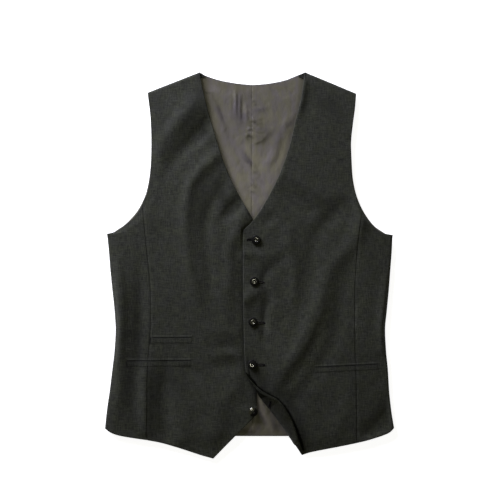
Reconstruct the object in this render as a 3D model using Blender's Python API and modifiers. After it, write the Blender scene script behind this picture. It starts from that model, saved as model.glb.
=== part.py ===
"""A man's suit waistcoat, lying flat on its back, face up.

Six layers make the height: the back cloth on the table, the back lining over
it, the wearer's right front, the wearer's left front lapped over that, welts
on the fronts and buttons on top.  The fronts are rounded down at the side and
shoulder seams.  The lower corner of the left front is turned back, so its
facing shows.

The flat shapes are drafted on a sheet of squares.  "across" counts squares to
the wearer's left and "down" counts squares towards the hem.  Heights and
thicknesses are in millimetres.
"""
import math

import bmesh
import bpy
import numpy as np
from mathutils import Matrix, Vector

# ---------------------------------------------------------------- dimensions
SQUARE = 1.66            # mm, one square of the drafting sheet
CENTRE_ACROSS = 249.5    # squares, middle of the garment
CENTRE_DOWN = 265.35     # squares, halfway from the neck points to the hem point

GAP = 0.3                # mm between pieces that lie on or beside each other
BACK_T = 1.0             # back cloth
LINING_T = 1.0           # back lining
FRONT_T = 2.0            # front: cloth, canvas and pocketing
FACING_T = 1.0           # facing on the turned-back corner
WELT_T = 1.2             # pocket welts
TAB_T = 1.0              # ends of the shoulder straps inside the neck

LINING_TOP = BACK_T + GAP + LINING_T             # 2.3
FRONT_TOP = LINING_TOP + GAP + FRONT_T           # 4.6, front lying close
LAP_TOP = FRONT_TOP + GAP + FRONT_T + 0.15       # 7.05, left front on the right
MAX_RISE = 3.6           # mm that a front may stand off the lining

SIDE_ROLL = 4.5          # mm, width of the rounded side and shoulder edges
SIDE_DROP = 2.3          # mm, how far those edges come down
DOME = 1.9               # mm, height of the fronts away from their edges
CENTRE_BACK = 252.0      # squares, the centre-back seam
BACK_HEM = 436.5         # squares down
LINING_SHORT = 0.9       # squares, lining short of the back at neck and hem

BUTTON_R = 7.75          # 15.5 mm button, 24 line
BUTTON_T = 3.4
BUTTON_HOLE_R = 0.85
BUTTON_HOLE_OUT = 1.55
SHANK_R = 1.3
SLOT_W = 0.9
SLOT_EYE_R = 2.1

# ------------------------------------------------------- outlines, in squares
# down, across
SIDE_RIGHT = [(428.5, 104.8), (410, 106.8), (390, 109.7), (370, 112.1),
              (350, 114.4), (330, 115.5), (310, 114.3), (290, 112.2),
              (270, 110.2), (250, 108.6), (240, 107.6), (233.8, 107.0)]
SIDE_LEFT = [(428.0, 394.2), (410, 391.3), (390, 389.2), (370, 388.0),
             (350, 386.1), (330, 385.2), (310, 387.0), (290, 388.9),
             (270, 390.4), (250, 391.9), (240, 392.4), (235.0, 392.8)]
# front armhole above the side-panel seam: down, across
ARMHOLE_RIGHT = [(203.6, 142.5), (196, 145.9), (188, 148.2), (176, 150.0),
                 (160, 151.0), (144, 151.3), (128, 151.0), (112, 149.9),
                 (100, 148.4), (92.5, 147.5)]
ARMHOLE_LEFT = [(212.0, 362.5), (200, 357.0), (190, 354.1), (180, 352.2),
                (168, 351.2), (152, 350.8), (140, 351.2), (124, 352.9),
                (108, 355.0), (93.5, 356.2)]
# front armhole of the side panels: across, down
SCYE_RIGHT = [(107.0, 233.8), (111.5, 232.8), (117.0, 230.8), (124.0, 226.0),
              (130.3, 220.8), (134.9, 216.0), (138.8, 210.7), (142.5, 203.6)]
SCYE_LEFT = [(362.5, 212.0), (365.2, 216.4), (368.4, 220.7), (373.0, 226.0),
             (378.5, 230.7), (385.0, 233.6), (392.8, 235.0)]
# side-panel seams: down, across
SEAM_RIGHT = [(440.1, 147.0), (400, 147.4), (370, 147.8), (352, 148.7),
              (336, 150.4), (312, 151.0), (289, 150.6), (248, 146.7),
              (232, 145.1), (218, 143.8), (203.6, 142.5)]
SEAM_LEFT = [(443.0, 356.9), (400, 356.4), (373, 355.9), (345, 355.0),
             (316, 354.6), (289, 354.9), (248, 357.4), (230, 359.4),
             (218, 361.1), (212.0, 362.5)]
# front edges, hem to neck: down, across
EDGE_RIGHT = [(414.5, 256.6), (394, 256.8), (300, 257.3), (240, 257.4),
              (228, 257.0), (222, 254.6), (214, 250.0), (202, 242.8),
              (190, 236.1), (178, 230.3), (166, 225.2), (154, 220.9),
              (142, 217.1), (130, 213.5), (118, 210.0), (106, 206.8),
              (94, 203.9), (82, 201.3), (72, 199.9)]
LAP_LEFT = [(372.0, 246.0), (366, 245.2), (355, 244.5), (340, 244.1),
            (300, 243.4), (262, 243.0), (232.2, 243.0)]
NECK_LEFT = [(222.5, 251.5), (214, 258.0), (202, 265.4), (190, 272.0),
             (178, 277.9), (166, 282.8), (154, 287.0), (142, 290.6),
             (130, 293.4), (118, 296.2), (106, 299.2), (94, 301.8),
             (82, 303.4), (72, 304.7)]
# hems: across, down
HEM_SIDE_RIGHT = [(104.8, 428.5), (110, 432.3), (115, 434.4), (122, 436.2),
                  (134, 438.2), (147.0, 440.1)]
HEM_RIGHT = [(147.0, 440.1), (160, 442.6), (174, 446.5), (188, 451.0),
             (202, 455.6), (213.3, 458.7)]
CUTAWAY_RIGHT = [(213.3, 458.7), (223.2, 448.4), (233.4, 438.0),
                 (245.2, 426.0), (256.6, 414.5)]
HEM_LEFT = [(303.0, 455.0), (311, 452.4), (322, 450.0), (334, 447.7),
            (346, 445.3), (356.9, 443.0)]
HEM_SIDE_LEFT = [(356.9, 443.0), (366, 440.8), (376, 437.8), (384, 435.1),
                 (390, 432.2), (394.2, 428.0)]
SHOULDER_RIGHT = [(147.5, 92.5), (173.7, 82.3), (199.9, 72.0)]
SHOULDER_LEFT = [(304.7, 72.0), (330.4, 82.7), (356.2, 93.5)]
# back, inside the rounded side and shoulder edges: down, across
BACK_RIGHT = [(426.5, 109.0), (410, 110.6), (390, 113.4), (370, 115.8),
              (350, 118.1), (330, 119.2), (310, 118.0), (290, 115.9),
              (270, 113.8), (250, 112.4), (235, 112.0), (231, 115.2),
              (226.5, 122.0), (220, 129.4), (210, 137.7), (200, 143.1),
              (190, 146.7), (176, 149.3), (160, 150.8), (140, 151.6),
              (118, 151.3), (96.5, 149.2)]
BACK_LEFT = [(426.0, 390.0), (410, 387.5), (390, 385.5), (370, 384.3),
             (350, 382.5), (330, 381.5), (310, 383.3), (290, 385.2),
             (270, 386.7), (250, 388.2), (236, 388.4), (232, 383.0),
             (227, 375.6), (220, 369.3), (210, 362.9), (200, 358.3),
             (190, 355.2), (176, 352.8), (160, 351.8), (140, 351.2),
             (118, 353.3), (97.4, 354.6)]
# across, down
BACK_HEM_RIGHT = [(109.0, 426.5), (118, 431.2), (130, 434.2), (150, 436.2),
                  (175, 436.5), (252.0, 436.5)]
BACK_HEM_LEFT = [(252.0, 436.5), (325, 436.5), (350, 435.6), (370, 432.8),
                 (382, 429.4), (390.0, 426.0)]
BACK_NECK_RIGHT = [(204.0, 74.6), (210, 77.0), (218, 79.5), (228, 81.7),
                   (239, 83.4), (252.0, 84.6)]
BACK_NECK_LEFT = [(252.0, 84.6), (264, 83.8), (275, 82.2), (286, 79.7),
                  (294, 76.5), (300.4, 73.8)]

# ------------------------------------------------ rows, hem to neck: a row of
# steps, with the height on the sheet where they end at each edge of the piece
# steps, outer down, inner down
ROWS_RIGHT = [(0, 440.1, 414.5), (2, 412.0, 395.0), (5, 338.0, 330.0),
              (7, 236.0, 228.0), (2, 203.6, 202.0), (7, 100.0, 80.0),
              (1, 95.0, 74.6), (1, 93.2, 72.7), (1, 92.5, 72.0)]
ROWS_LEFT = [(0, 443.0, 455.0), (10, 372.0, 372.0), (9, 234.0, 232.2),
             (1, 224.0, 222.5), (1, 212.0, 212.0), (8, 101.0, 80.0),
             (1, 96.0, 74.6), (1, 94.2, 72.7), (1, 93.5, 72.0)]
# outer edge of the side panels, against the rows above: steps, down
FLANK_RIGHT = [(0, 428.5), (7, 334.0), (7, 243.0), (1, 237.0), (1, 233.8)]
FLANK_LEFT = [(0, 428.0), (10, 366.0), (9, 243.5), (1, 238.5), (1, 235.0)]
ROWS_BACK = [(0, 426.3, 436.5), (3, 330.0, 330.0), (4, 250.0, 252.0),
             (1, 235.5, 236.0), (1, 231.5, 226.0), (1, 226.5, 214.0),
             (1, 220.0, 204.0), (1, 210.0, 190.0), (1, 200.0, 174.0),
             (1, 190.0, 160.0), (2, 160.0, 132.0), (2, 118.0, 102.0),
             (1, 97.0, 84.6)]
ROWS_LINING = [(0, 426.3, 436.5), (5, 330.0, 330.0), (3, 250.0, 252.0),
               (1, 235.5, 236.0), (1, 231.5, 226.0), (1, 226.5, 214.0),
               (1, 220.0, 204.0), (1, 210.0, 190.0), (1, 200.0, 174.0),
               (1, 190.0, 160.0), (2, 160.0, 136.0), (3, 118.0, 106.0),
               (3, 97.0, 84.6)]

# ------------------------------------------- soft folds in the fronts, squares
# and mm: from across, down, to across, down, half width, rise
FOLDS_RIGHT = [
    (206, 112, 168, 166, 24, -1.7),    # from the neck edge across the chest
    (200, 142, 180, 172, 20, 1.1),     # swell below it
    (203, 176, 192, 300, 27, -1.7),    # long hollow down the middle
    (167, 186, 168, 292, 19, 1.0),     # swell beside the side panel
    (238, 188, 228, 206, 15, -1.3),    # dimple at the foot of the neck edge
    (238, 206, 229, 226, 14, 1.0),
    (236, 262, 235, 300, 12, -1.2),    # hollow along the lapped edge
    (162, 350, 160, 402, 26, -1.5),    # hollow below the pockets
    (204, 364, 230, 388, 22, 1.1),     # swell over the cutaway
]
FOLDS_LEFT = [
    (316, 238, 316, 330, 15, 1.4),     # swell under the chest
    (336, 282, 330, 345, 17, -1.6),    # hollow beside it
    (329, 348, 304, 362, 15, -1.4),
    (304, 358, 291, 384, 15, -1.3),    # hollow running to the turned corner
    (268, 290, 267, 310, 12, -0.9),
    (288, 322, 285, 350, 20, 1.0),     # swell beside the fourth button
    (358, 200, 350, 220, 14, -1.1),    # pull at the underarm
]
# ------------------------------------------- creases in the lining, the same
CREASES = [
    (256, 92, 251, 112, 6, 1.2),
    (245, 96, 243, 118, 5, 0.9),
    (237, 93, 235, 120, 5, 1.2),
    (226, 96, 229, 112, 6, 0.7),
    (256, 118, 268, 128, 7, 1.3),
    (246, 126, 236, 140, 7, 1.0),
    (258, 142, 274, 156, 8, 1.2),
    (245, 150, 240, 168, 7, 1.1),
    (252, 172, 262, 184, 8, 1.0),
    (272, 108, 286, 116, 8, 0.8),
    (216, 100, 224, 116, 8, 0.9),
    (228, 134, 232, 156, 8, 0.8),
]

# ------------------------------------------------- the turned-back corner
FOLD_TOP = (246.0, 372.0)      # on the lapped edge, across, down
FOLD_FOOT = (303.0, 455.0)     # at the hem point
TURN_SLACK = 1.15              # cloth taken up by the roll
ROLL_R = 3.0                   # mm, inside of the roll
CURL = 0.36                    # radians either side of the mean turn
# squares along the fold, squares that the bend starts inside it, squares of
# cloth turned back, mean turn in degrees
CORNER = [
    (0.0, 0.0, 0.0, 35), (7.0, 1.2, 3.8, 74), (14.0, 1.4, 7.6, 90),
    (20.0, 1.2, 10.8, 101), (27.0, 1.1, 14.0, 116), (33.0, 1.2, 16.2, 128),
    (39.0, 1.5, 17.2, 136), (46.0, 1.9, 17.0, 141), (56.0, 2.4, 15.2, 147),
    (66.0, 2.6, 12.9, 156), (80.0, 2.6, 8.8, 160), (90.0, 1.7, 5.2, 164),
    (96.0, 0.8, 2.4, 165), (100.7, 0.0, 0.0, 165),
]
FLAP_STEPS = [0.0, 0.07, 0.14, 0.22, 0.32, 0.5, 0.74, 1.0]
FACING_ROWS = (2, 8)           # rows of the fold that carry facing
FACING_FROM = 2                # column where the facing comes into view

# ----------------------------------------------------------- sewn-on pieces
# name, across and down of the near and far ends of the top line, width in mm
WELTS = [
    ("welt_ticket", 151.4, 337.6, 191.8, 337.3, 10.3),
    ("welt_lower_right", 127.5, 360.4, 191.2, 360.0, 10.3),
    ("welt_lower_left", 314.6, 366.8, 378.4, 363.4, 10.0),
]
# name, button across, down, shank across, down, tilt in degrees
BUTTONS = [
    ("button_1", 256.0, 240.0, 254.4, 239.6, 5.0),
    ("button_2", 254.2, 281.4, 253.9, 282.3, -2.0),
    ("button_3", 252.9, 321.9, 253.4, 323.0, 1.5),
    ("button_4", 252.3, 364.5, 252.9, 364.8, -1.5),
    ("button_5", 253.0, 411.6, 252.9, 411.4, 1.0),
]
# buttonholes in the left front: near and far end across, shank across, down
BUTTONHOLES = [
    (247.8, 259.4, 254.4, 239.6),
    (253.9, 263.0, 253.9, 282.3),
    (253.4, 264.0, 253.4, 323.0),
    (252.9, 263.8, 252.9, 364.8),
]

# the fifth: squares along the fold and mm past it, at its two ends
HOLE_5 = ((41.5, 10.5), (37.0, 22.5))


# ------------------------------------------------------------------- helpers
def smooth(t):
    """0 below 0, 1 above 1, and an easy curve between."""
    t = np.clip(t, 0.0, 1.0)
    return t * t * (3.0 - 2.0 * t)


def through(rows):
    """A smooth curve through a table of (place, value), as a function."""
    rows = sorted(rows)
    t = np.array([r[0] for r in rows], float)
    p = np.array([r[1] for r in rows], float)
    step = np.diff(t)
    slope = np.diff(p) / step
    lean = np.zeros(len(t))
    lean[0], lean[-1] = slope[0], slope[-1]
    for k in range(1, len(t) - 1):
        a, b = slope[k - 1], slope[k]
        if a * b > 0:
            w1 = 2 * step[k] + step[k - 1]
            w2 = step[k] + 2 * step[k - 1]
            lean[k] = (w1 + w2) / (w1 / a + w2 / b)

    def at(x):
        x = np.clip(np.asarray(x, float), t[0], t[-1])
        k = np.clip(np.searchsorted(t, x) - 1, 0, len(t) - 2)
        s = (x - t[k]) / step[k]
        return ((1 + 2 * s) * (1 - s) ** 2 * p[k]
                + s * (1 - s) ** 2 * step[k] * lean[k]
                + s * s * (3 - 2 * s) * p[k + 1]
                + s * s * (s - 1) * step[k] * lean[k + 1])

    return at


def along(rows, steps):
    """Evenly spaced points on a smooth edge given as (across, down)."""
    curve = through(rows)
    fine = np.linspace(rows[0][0], rows[-1][0], 200)
    down = curve(fine)
    run = np.concatenate([[0], np.cumsum(np.hypot(np.diff(fine), np.diff(down)))])
    x = np.interp(np.linspace(0, run[-1], steps + 1), run, fine)
    return np.stack([x, curve(x)], axis=1)


def stations(rows, side):
    """How far down the sheet each row meets one edge of its piece."""
    out = [rows[0][side]]
    for before, row in zip(rows, rows[1:]):
        for k in range(1, row[0] + 1):
            out.append(before[side] + (row[side] - before[side]) * k / row[0])
    return np.array(out)


def edge(curve, down):
    return np.stack([curve(down), down], axis=1)


def loft(low_across, high_across, hem, head, share, bend=2.0):
    """Points of a four-edged piece, rows from hem to head."""
    a, b = np.asarray(low_across), np.asarray(high_across)
    u = np.asarray(share)[:, None]
    middle = (a + b) / 2
    run = np.concatenate([[0], np.cumsum(np.hypot(*np.diff(middle, axis=0).T))])
    v = run / run[-1]
    foot = hem - ((1 - u) * hem[0] + u * hem[-1])
    crown = head - ((1 - u) * head[0] + u * head[-1])
    return np.array([
        (1 - u) * a[k] + u * b[k]
        + (1 - v[k]) ** bend * foot + v[k] ** bend * crown
        for k in range(len(a))])


def to_line(x, y, x1, y1, x2, y2):
    """Distance in mm from points to a stretch between two places."""
    dx, dy = x2 - x1, y2 - y1
    t = np.clip(((x - x1) * dx + (y - y1) * dy) / (dx * dx + dy * dy), 0, 1)
    return np.hypot(x - x1 - t * dx, y - y1 - t * dy) * SQUARE, t


def soft_folds(table, x, y):
    total = np.zeros_like(x)
    for x1, y1, x2, y2, half, rise in table:
        d, t = to_line(x, y, x1, y1, x2, y2)
        total = total + rise * np.exp(-(d / half) ** 2)
    return total


# --------------------------------------------------------- heights of surfaces
outer_right = through(SIDE_RIGHT + [(y, x) for x, y in SCYE_RIGHT[1:-1]]
                      + ARMHOLE_RIGHT)
outer_left = through(SIDE_LEFT + [(y, x) for x, y in SCYE_LEFT[1:-1]]
                     + ARMHOLE_LEFT)
side_right, side_left = through(SIDE_RIGHT), through(SIDE_LEFT)
inner_right = through(EDGE_RIGHT)
inner_left = through(LAP_LEFT + NECK_LEFT)
hem_right = through(HEM_SIDE_RIGHT + HEM_RIGHT[1:] + CUTAWAY_RIGHT[1:])
hem_left = through(HEM_LEFT + HEM_SIDE_LEFT[1:])


def below_shoulder(x, y, ends):
    """Distance in mm from a shoulder seam, given by its two ends."""
    (x1, y1), (x2, y2) = ends
    length = math.hypot(x2 - x1, y2 - y1)
    return ((y - y1) * (x2 - x1) - (x - x1) * (y2 - y1)) / length * SQUARE


def rounded(e):
    """How far an edge has come down, e mm in from it."""
    s = np.clip(1.0 - e / SIDE_ROLL, 0.0, 1.0)
    return SIDE_DROP * (1.0 - np.sqrt(1.0 - s * s))


def seam_drop(y, off_seam, off_shoulder):
    """Side edges and shoulders are rounded down to the table."""
    side = rounded(off_seam) * smooth((y - 233.0) / 7.0)
    return np.maximum(side, rounded(off_shoulder))


def hem_drop(y):
    """Below the back's hem a front lies on the table."""
    return (FRONT_TOP - FRONT_T - GAP) * smooth((y - BACK_HEM - 0.8) / 8.0)


def top_right(x, y):
    """Upper side of the wearer's right front, in mm."""
    off_side = (x - outer_right(y)) * SQUARE
    off_edge = (inner_right(y) - x) * SQUARE
    off_hem = (hem_right(x) - y) * SQUARE
    off_shoulder = below_shoulder(x, y, (SHOULDER_RIGHT[0], SHOULDER_RIGHT[-1]))
    lapped = smooth((y - 205) / 20) * smooth((408 - y) / 14)
    inner = smooth((off_edge - 2 - 23 * lapped) / 24)
    keep = (smooth(off_side / 34) * inner * smooth(off_hem / 30)
            * smooth(off_shoulder / 30))
    rise = keep * (DOME + soft_folds(FOLDS_RIGHT, x, y))
    off_seam = (x - side_right(y)) * SQUARE
    return (FRONT_TOP + np.clip(rise, 0, MAX_RISE)
            - seam_drop(y, off_seam, off_shoulder) - hem_drop(y))


def fold_place(x, y):
    """Squares along the fold and mm inside it."""
    tx, ty = FOLD_FOOT[0] - FOLD_TOP[0], FOLD_FOOT[1] - FOLD_TOP[1]
    length = math.hypot(tx, ty)
    tx, ty = tx / length, ty / length
    rx, ry = x - FOLD_TOP[0], y - FOLD_TOP[1]
    return rx * tx + ry * ty, (rx * ty - ry * tx) * SQUARE


def top_left(x, y):
    """Upper side of the wearer's left front, in mm."""
    off_side = (outer_left(y) - x) * SQUARE
    off_edge = (x - inner_left(y)) * SQUARE
    off_hem = (hem_left(np.maximum(x, FOLD_FOOT[0])) - y) * SQUARE
    off_shoulder = below_shoulder(x, y, (SHOULDER_LEFT[0], SHOULDER_LEFT[-1]))
    place, inside = fold_place(x, y)
    lapped = smooth((y - 205) / 12)
    inner = smooth((off_edge - 2 - 20 * lapped) / 26)
    keep = (smooth(off_side / 34) * inner * smooth(off_hem / 30)
            * smooth(off_shoulder / 30) * smooth(inside / 26))
    rise = np.clip(keep * (DOME + soft_folds(FOLDS_LEFT, x, y)), 0, MAX_RISE)
    lap = (LAP_TOP - FRONT_TOP) * smooth((277 - x) / 14) * smooth((y - 198) / 12)
    curl = (2.95 * np.exp(-(np.maximum(inside, 0) / 26) ** 2)
            * smooth((y - 345) / 20) * (1 - smooth((y - 437) / 14)))
    rise = np.maximum(rise, np.maximum(lap, curl))
    off_seam = (side_left(y) - x) * SQUARE
    return (FRONT_TOP + rise
            - seam_drop(y, off_seam, off_shoulder) - hem_drop(y))


def top_lining(x, y):
    """Upper side of the back lining, creased only where it shows."""
    from_right = (x - inner_right(y)) * SQUARE
    from_left = (inner_left(y) - x) * SQUARE
    neck = np.where(x < CENTRE_BACK, through(BACK_NECK_RIGHT)(x),
                    through(BACK_NECK_LEFT)(x))
    seen = (smooth((from_right - 6) / 10) * smooth((from_left - 6) / 10)
            * smooth(((y - neck) * SQUARE - 6) / 10) * smooth((214 - y) / 8))
    return LINING_TOP + seen * np.clip(soft_folds(CREASES, x, y), 0, 1.5)


# ------------------------------------------------------------ scene and build
for thing in list(bpy.data.objects):
    bpy.data.objects.remove(thing, do_unlink=True)

garment = bpy.data.collections.new("suit_waistcoat")
cutters = bpy.data.collections.new("cutters")
bpy.context.scene.collection.children.link(garment)
bpy.context.scene.collection.children.link(cutters)


def cloth(name, colour, rough, metallic=0.0):
    m = bpy.data.materials.new(name)
    m.use_nodes = True
    shader = m.node_tree.nodes["Principled BSDF"]
    shader.inputs["Base Color"].default_value = (*colour, 1.0)
    shader.inputs["Roughness"].default_value = rough
    shader.inputs["Metallic"].default_value = metallic
    m.diffuse_color = (*colour, 1.0)
    return m


WOOL = (0.027, 0.028, 0.024)
SATIN = (0.098, 0.090, 0.078)


def place(x, y, z):
    """From sheet squares and a height in mm to metres."""
    return ((x - CENTRE_ACROSS) * SQUARE / 1000.0,
            (CENTRE_DOWN - y) * SQUARE / 1000.0, z / 1000.0)


def add_object(name, points, faces, material):
    mesh = bpy.data.meshes.new(name)
    mesh.from_pydata(points, [], faces)
    mesh.validate()
    mesh.materials.append(material)
    thing = bpy.data.objects.new(name, mesh)
    garment.objects.link(thing)
    return thing


def thicken(thing, thickness, up=False):
    shell = thing.modifiers.new("thickness", "SOLIDIFY")
    shell.thickness = thickness / 1000.0
    shell.offset = 1.0 if up else -1.0
    shell.use_even_offset = False
    shell.use_quality_normals = True
    shell.use_rim = True
    return thing


def quads(rows, cols, start=0):
    return [(start + i * cols + j, start + i * cols + j + 1,
             start + (i + 1) * cols + j + 1, start + (i + 1) * cols + j)
            for i in range(rows - 1) for j in range(cols - 1)]


def panel(name, grid, height, thickness, material, up=False):
    """A piece of cloth over a grid of sheet points at a given height."""
    rows, cols = grid.shape[:2]
    x, y = grid[..., 0].ravel(), grid[..., 1].ravel()
    z = height(x, y)
    points = [place(*p) for p in zip(x, y, z)]
    return thicken(add_object(name, points, quads(rows, cols), material),
                   thickness, up)


def pull_in(points, squares):
    """Moves one end of a list of edge points across by some squares."""
    moved = np.array(points, float)
    moved[:, 0] += squares
    return moved


HALF = GAP / 2 / SQUARE

# ---------------------------------------------------------------- the back
back_cloth = cloth("back_cloth", (0.022, 0.021, 0.022), 0.5)
lining_cloth = cloth("lining_satin", SATIN, 0.38)
for name, rows, short, mat, thick, height in (
        ("back_outer", ROWS_BACK, 0.0, back_cloth, BACK_T, None),
        ("back_lining", ROWS_LINING, LINING_SHORT, lining_cloth, LINING_T,
         top_lining)):
    few = name == "back_outer"
    outer = stations(rows, 1)
    inner = stations(rows, 2)
    inner = inner[0] - short + (inner - inner[0]) * (
        (inner[0] - inner[-1] - 2 * short) / (inner[0] - inner[-1]))
    for side, side_rows, hem_rows, neck_rows, sign in (
            ("right", BACK_RIGHT, BACK_HEM_RIGHT, BACK_NECK_RIGHT, 1),
            ("left", BACK_LEFT, BACK_HEM_LEFT, BACK_NECK_LEFT, -1)):
        low, high = side_rows[0][0], side_rows[-1][0]
        down = high + (outer - outer[-1]) * (low - high) / (outer[0] - outer[-1])
        flank = edge(through(side_rows), down)
        centre = np.stack([np.full(len(inner), CENTRE_BACK - sign * HALF),
                           inner], axis=1)
        n1, n2 = (3, 5) if few else (3, 8)
        hem_line = along(hem_rows, n1 + n2)
        neck_line = along(neck_rows, n2)
        tip = np.array(flank[-1])
        if sign > 0:
            shoulder = np.linspace(tip, neck_line[0], n1 + 1)
            head = np.concatenate([shoulder[:-1], neck_line])
            share = np.concatenate([np.linspace(0, 0.52, n1 + 1)[:-1],
                                    np.linspace(0.52, 1, n2 + 1)])
            hem_line = np.stack([np.interp(share, np.linspace(0, 1, n1 + n2 + 1),
                                           hem_line[:, k]) for k in (0, 1)], 1)
            neck_end, hem_end = -1, -1
        else:
            shoulder = np.linspace(neck_line[-1], tip, n1 + 1)
            head = np.concatenate([neck_line, shoulder[1:]])
            share = np.concatenate([np.linspace(0, 0.48, n2 + 1),
                                    np.linspace(0.48, 1, n1 + 1)[1:]])
            hem_line = np.stack([np.interp(share, np.linspace(0, 1, n1 + n2 + 1),
                                           hem_line[:, k]) for k in (0, 1)], 1)
            neck_end, hem_end = 0, 0
        on_neck = smooth((head[:, 0] - 196) / 6) * smooth((308 - head[:, 0]) / 6)
        head[:, 1] += short * on_neck
        hem_line[:, 1] -= short
        flank[0, 1] -= short
        head[neck_end] = centre[-1]
        hem_line[hem_end] = centre[0]
        near, far = (flank, centre) if sign > 0 else (centre, flank)
        hem_line[0], hem_line[-1] = near[0], far[0]
        head[0], head[-1] = near[-1], far[-1]
        grid = loft(near, far, hem_line, head, share)
        rise = height or (lambda x, y: np.full_like(x, BACK_T))
        panel(f"{name}_{side}", grid, rise, thick, mat)

# ------------------------------------------------------- wearer's right front
wool = cloth("wool_front", WOOL, 0.85)
wool_side = cloth("wool_side", (0.025, 0.026, 0.022), 0.85)

down_out, down_in = stations(ROWS_RIGHT, 1), stations(ROWS_RIGHT, 2)
flank = edge(through(SEAM_RIGHT + ARMHOLE_RIGHT[1:]), down_out)
flank[:, 0] += np.where(down_out > 203.6, HALF, 0.0)
front_edge = edge(inner_right, down_in)
hem_line = np.concatenate([along(HEM_RIGHT, 7), along(CUTAWAY_RIGHT, 7)[1:]])
hem_line[0] = flank[0]
head = along([SHOULDER_RIGHT[0], SHOULDER_RIGHT[-1]], 14)
share = np.linspace(0, 1, 15)
panel("front_right_main", loft(flank, front_edge, hem_line, head, share),
      top_right, FRONT_T, wool)

down_out = stations(FLANK_RIGHT, 1)
down_in = stations(ROWS_RIGHT, 1)[:len(down_out)]
flank = edge(through(SIDE_RIGHT), down_out)
seam = edge(through(SEAM_RIGHT), down_in)
seam[:, 0] -= HALF
share = np.array([0, 0.012, 0.035, 0.075, 0.27, 0.5, 0.75, 1.0])


def at_share(rows, share):
    fine = along(rows, 60)
    s = np.linspace(0, 1, 61)
    return np.stack([np.interp(share, s, fine[:, k]) for k in (0, 1)], axis=1)


hem_line, head = at_share(HEM_SIDE_RIGHT, share), at_share(SCYE_RIGHT, share)
hem_line[0], hem_line[-1] = flank[0], seam[0]
head[0], head[-1] = flank[-1], seam[-1]
panel("front_right_side", loft(flank, seam, hem_line, head, share),
      top_right, FRONT_T, wool_side)

# -------------------------------------------------------- wearer's left front
fold_length = math.hypot(FOLD_FOOT[0] - FOLD_TOP[0], FOLD_FOOT[1] - FOLD_TOP[1])
fold_dir = np.array([FOLD_FOOT[0] - FOLD_TOP[0],
                     FOLD_FOOT[1] - FOLD_TOP[1]]) / fold_length
fold_out = np.array([-fold_dir[1], fold_dir[0]])
starts_inside = through([(row[0], row[1]) for row in CORNER])
turned_back = through([(row[0], row[2]) for row in CORNER])
turn_at = through([(row[0], row[3]) for row in CORNER])


def fold_point(s):
    """Where the bend starts, s squares along the fold."""
    return np.array(FOLD_TOP) + fold_dir * s - fold_out * float(starts_inside(s))


def past_fold(s):
    """mm of cloth turned back, s squares along the fold."""
    return float(turned_back(s)) * SQUARE * TURN_SLACK


def roll(s, depth):
    """Section across the fold: mm out, mm up and the angle turned."""
    full = past_fold(s)
    mean = math.radians(float(turn_at(s)))
    first = max(mean - CURL, 0.05)
    radius = min(ROLL_R, 0.55 * full / first)
    tight = radius * first
    if depth <= tight:
        angle = depth / radius
        return radius * math.sin(angle), radius * (1 - math.cos(angle)), angle
    bend = 2 * CURL / (full - tight)
    angle = first + bend * (depth - tight)
    out = radius * math.sin(first) + (math.sin(angle) - math.sin(first)) / bend
    up = (radius * (1 - math.cos(first))
          + (math.cos(first) - math.cos(angle)) / bend)
    return out, up, angle


def turned(s, depth, off=0.0):
    """A point of the turned-back corner, off mm outside its upper side."""
    base = fold_point(s)
    out, up, angle = roll(s, depth)
    out += off * math.sin(angle)
    up -= off * math.cos(angle)
    spot = base + fold_out * (out / SQUARE)
    z = float(top_left(np.array([base[0]]), np.array([base[1]]))[0])
    return place(spot[0], spot[1], z + up)


down_in, down_out = stations(ROWS_LEFT, 2), stations(ROWS_LEFT, 1)
fold_rows = ROWS_LEFT[1][0]
reach = [fold_length * (1 - k / fold_rows) for k in range(fold_rows + 1)]
reach[fold_rows - 1] = 7.0
near = edge(inner_left, down_in)
for k in range(fold_rows + 1):
    near[k] = fold_point(reach[k])
far = edge(through(SEAM_LEFT + ARMHOLE_LEFT[1:]), down_out)
far[:, 0] -= np.where(down_out > 212.0, HALF, 0.0)
hem_line = along(HEM_LEFT, 14)
hem_line[0], hem_line[-1] = near[0], far[0]
head = along([SHOULDER_LEFT[0], SHOULDER_LEFT[-1]], 14)
grid = loft(near, far, hem_line, head, np.linspace(0, 1, 15))
rows, cols = grid.shape[:2]
x, y = grid[..., 0].ravel(), grid[..., 1].ravel()
points = [place(*p) for p in zip(x, y, top_left(x, y))]
faces = quads(rows, cols)
index = [[k * cols] * len(FLAP_STEPS) for k in range(fold_rows + 1)]
for k in range(1, fold_rows):
    for c in range(1, len(FLAP_STEPS)):
        index[k][c] = len(points)
        points.append(turned(reach[k], FLAP_STEPS[c] * past_fold(reach[k])))
for k in range(fold_rows):
    for c in range(len(FLAP_STEPS) - 1):
        ring = [index[k][c + 1], index[k][c], index[k + 1][c], index[k + 1][c + 1]]
        ring = [v for n, v in enumerate(ring) if v != ring[n - 1]]
        if len(set(ring)) >= 3:
            faces.append(tuple(ring))
front_left = thicken(add_object("front_left_main", points, faces, wool), FRONT_T)

facing_cloth = cloth("wool_facing", (0.020, 0.021, 0.018), 0.85)
points = []
first, last = FACING_ROWS
for k in range(first, last + 1):
    for c in range(len(FLAP_STEPS) - 1, FACING_FROM - 1, -1):
        depth = FLAP_STEPS[c] * past_fold(reach[k])
        points.append(turned(reach[k], depth, FRONT_T + GAP + 0.1))
facing = add_object("front_left_facing", points,
                    quads(last - first + 1, len(FLAP_STEPS) - FACING_FROM),
                    facing_cloth)
thicken(facing, FACING_T)

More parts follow.
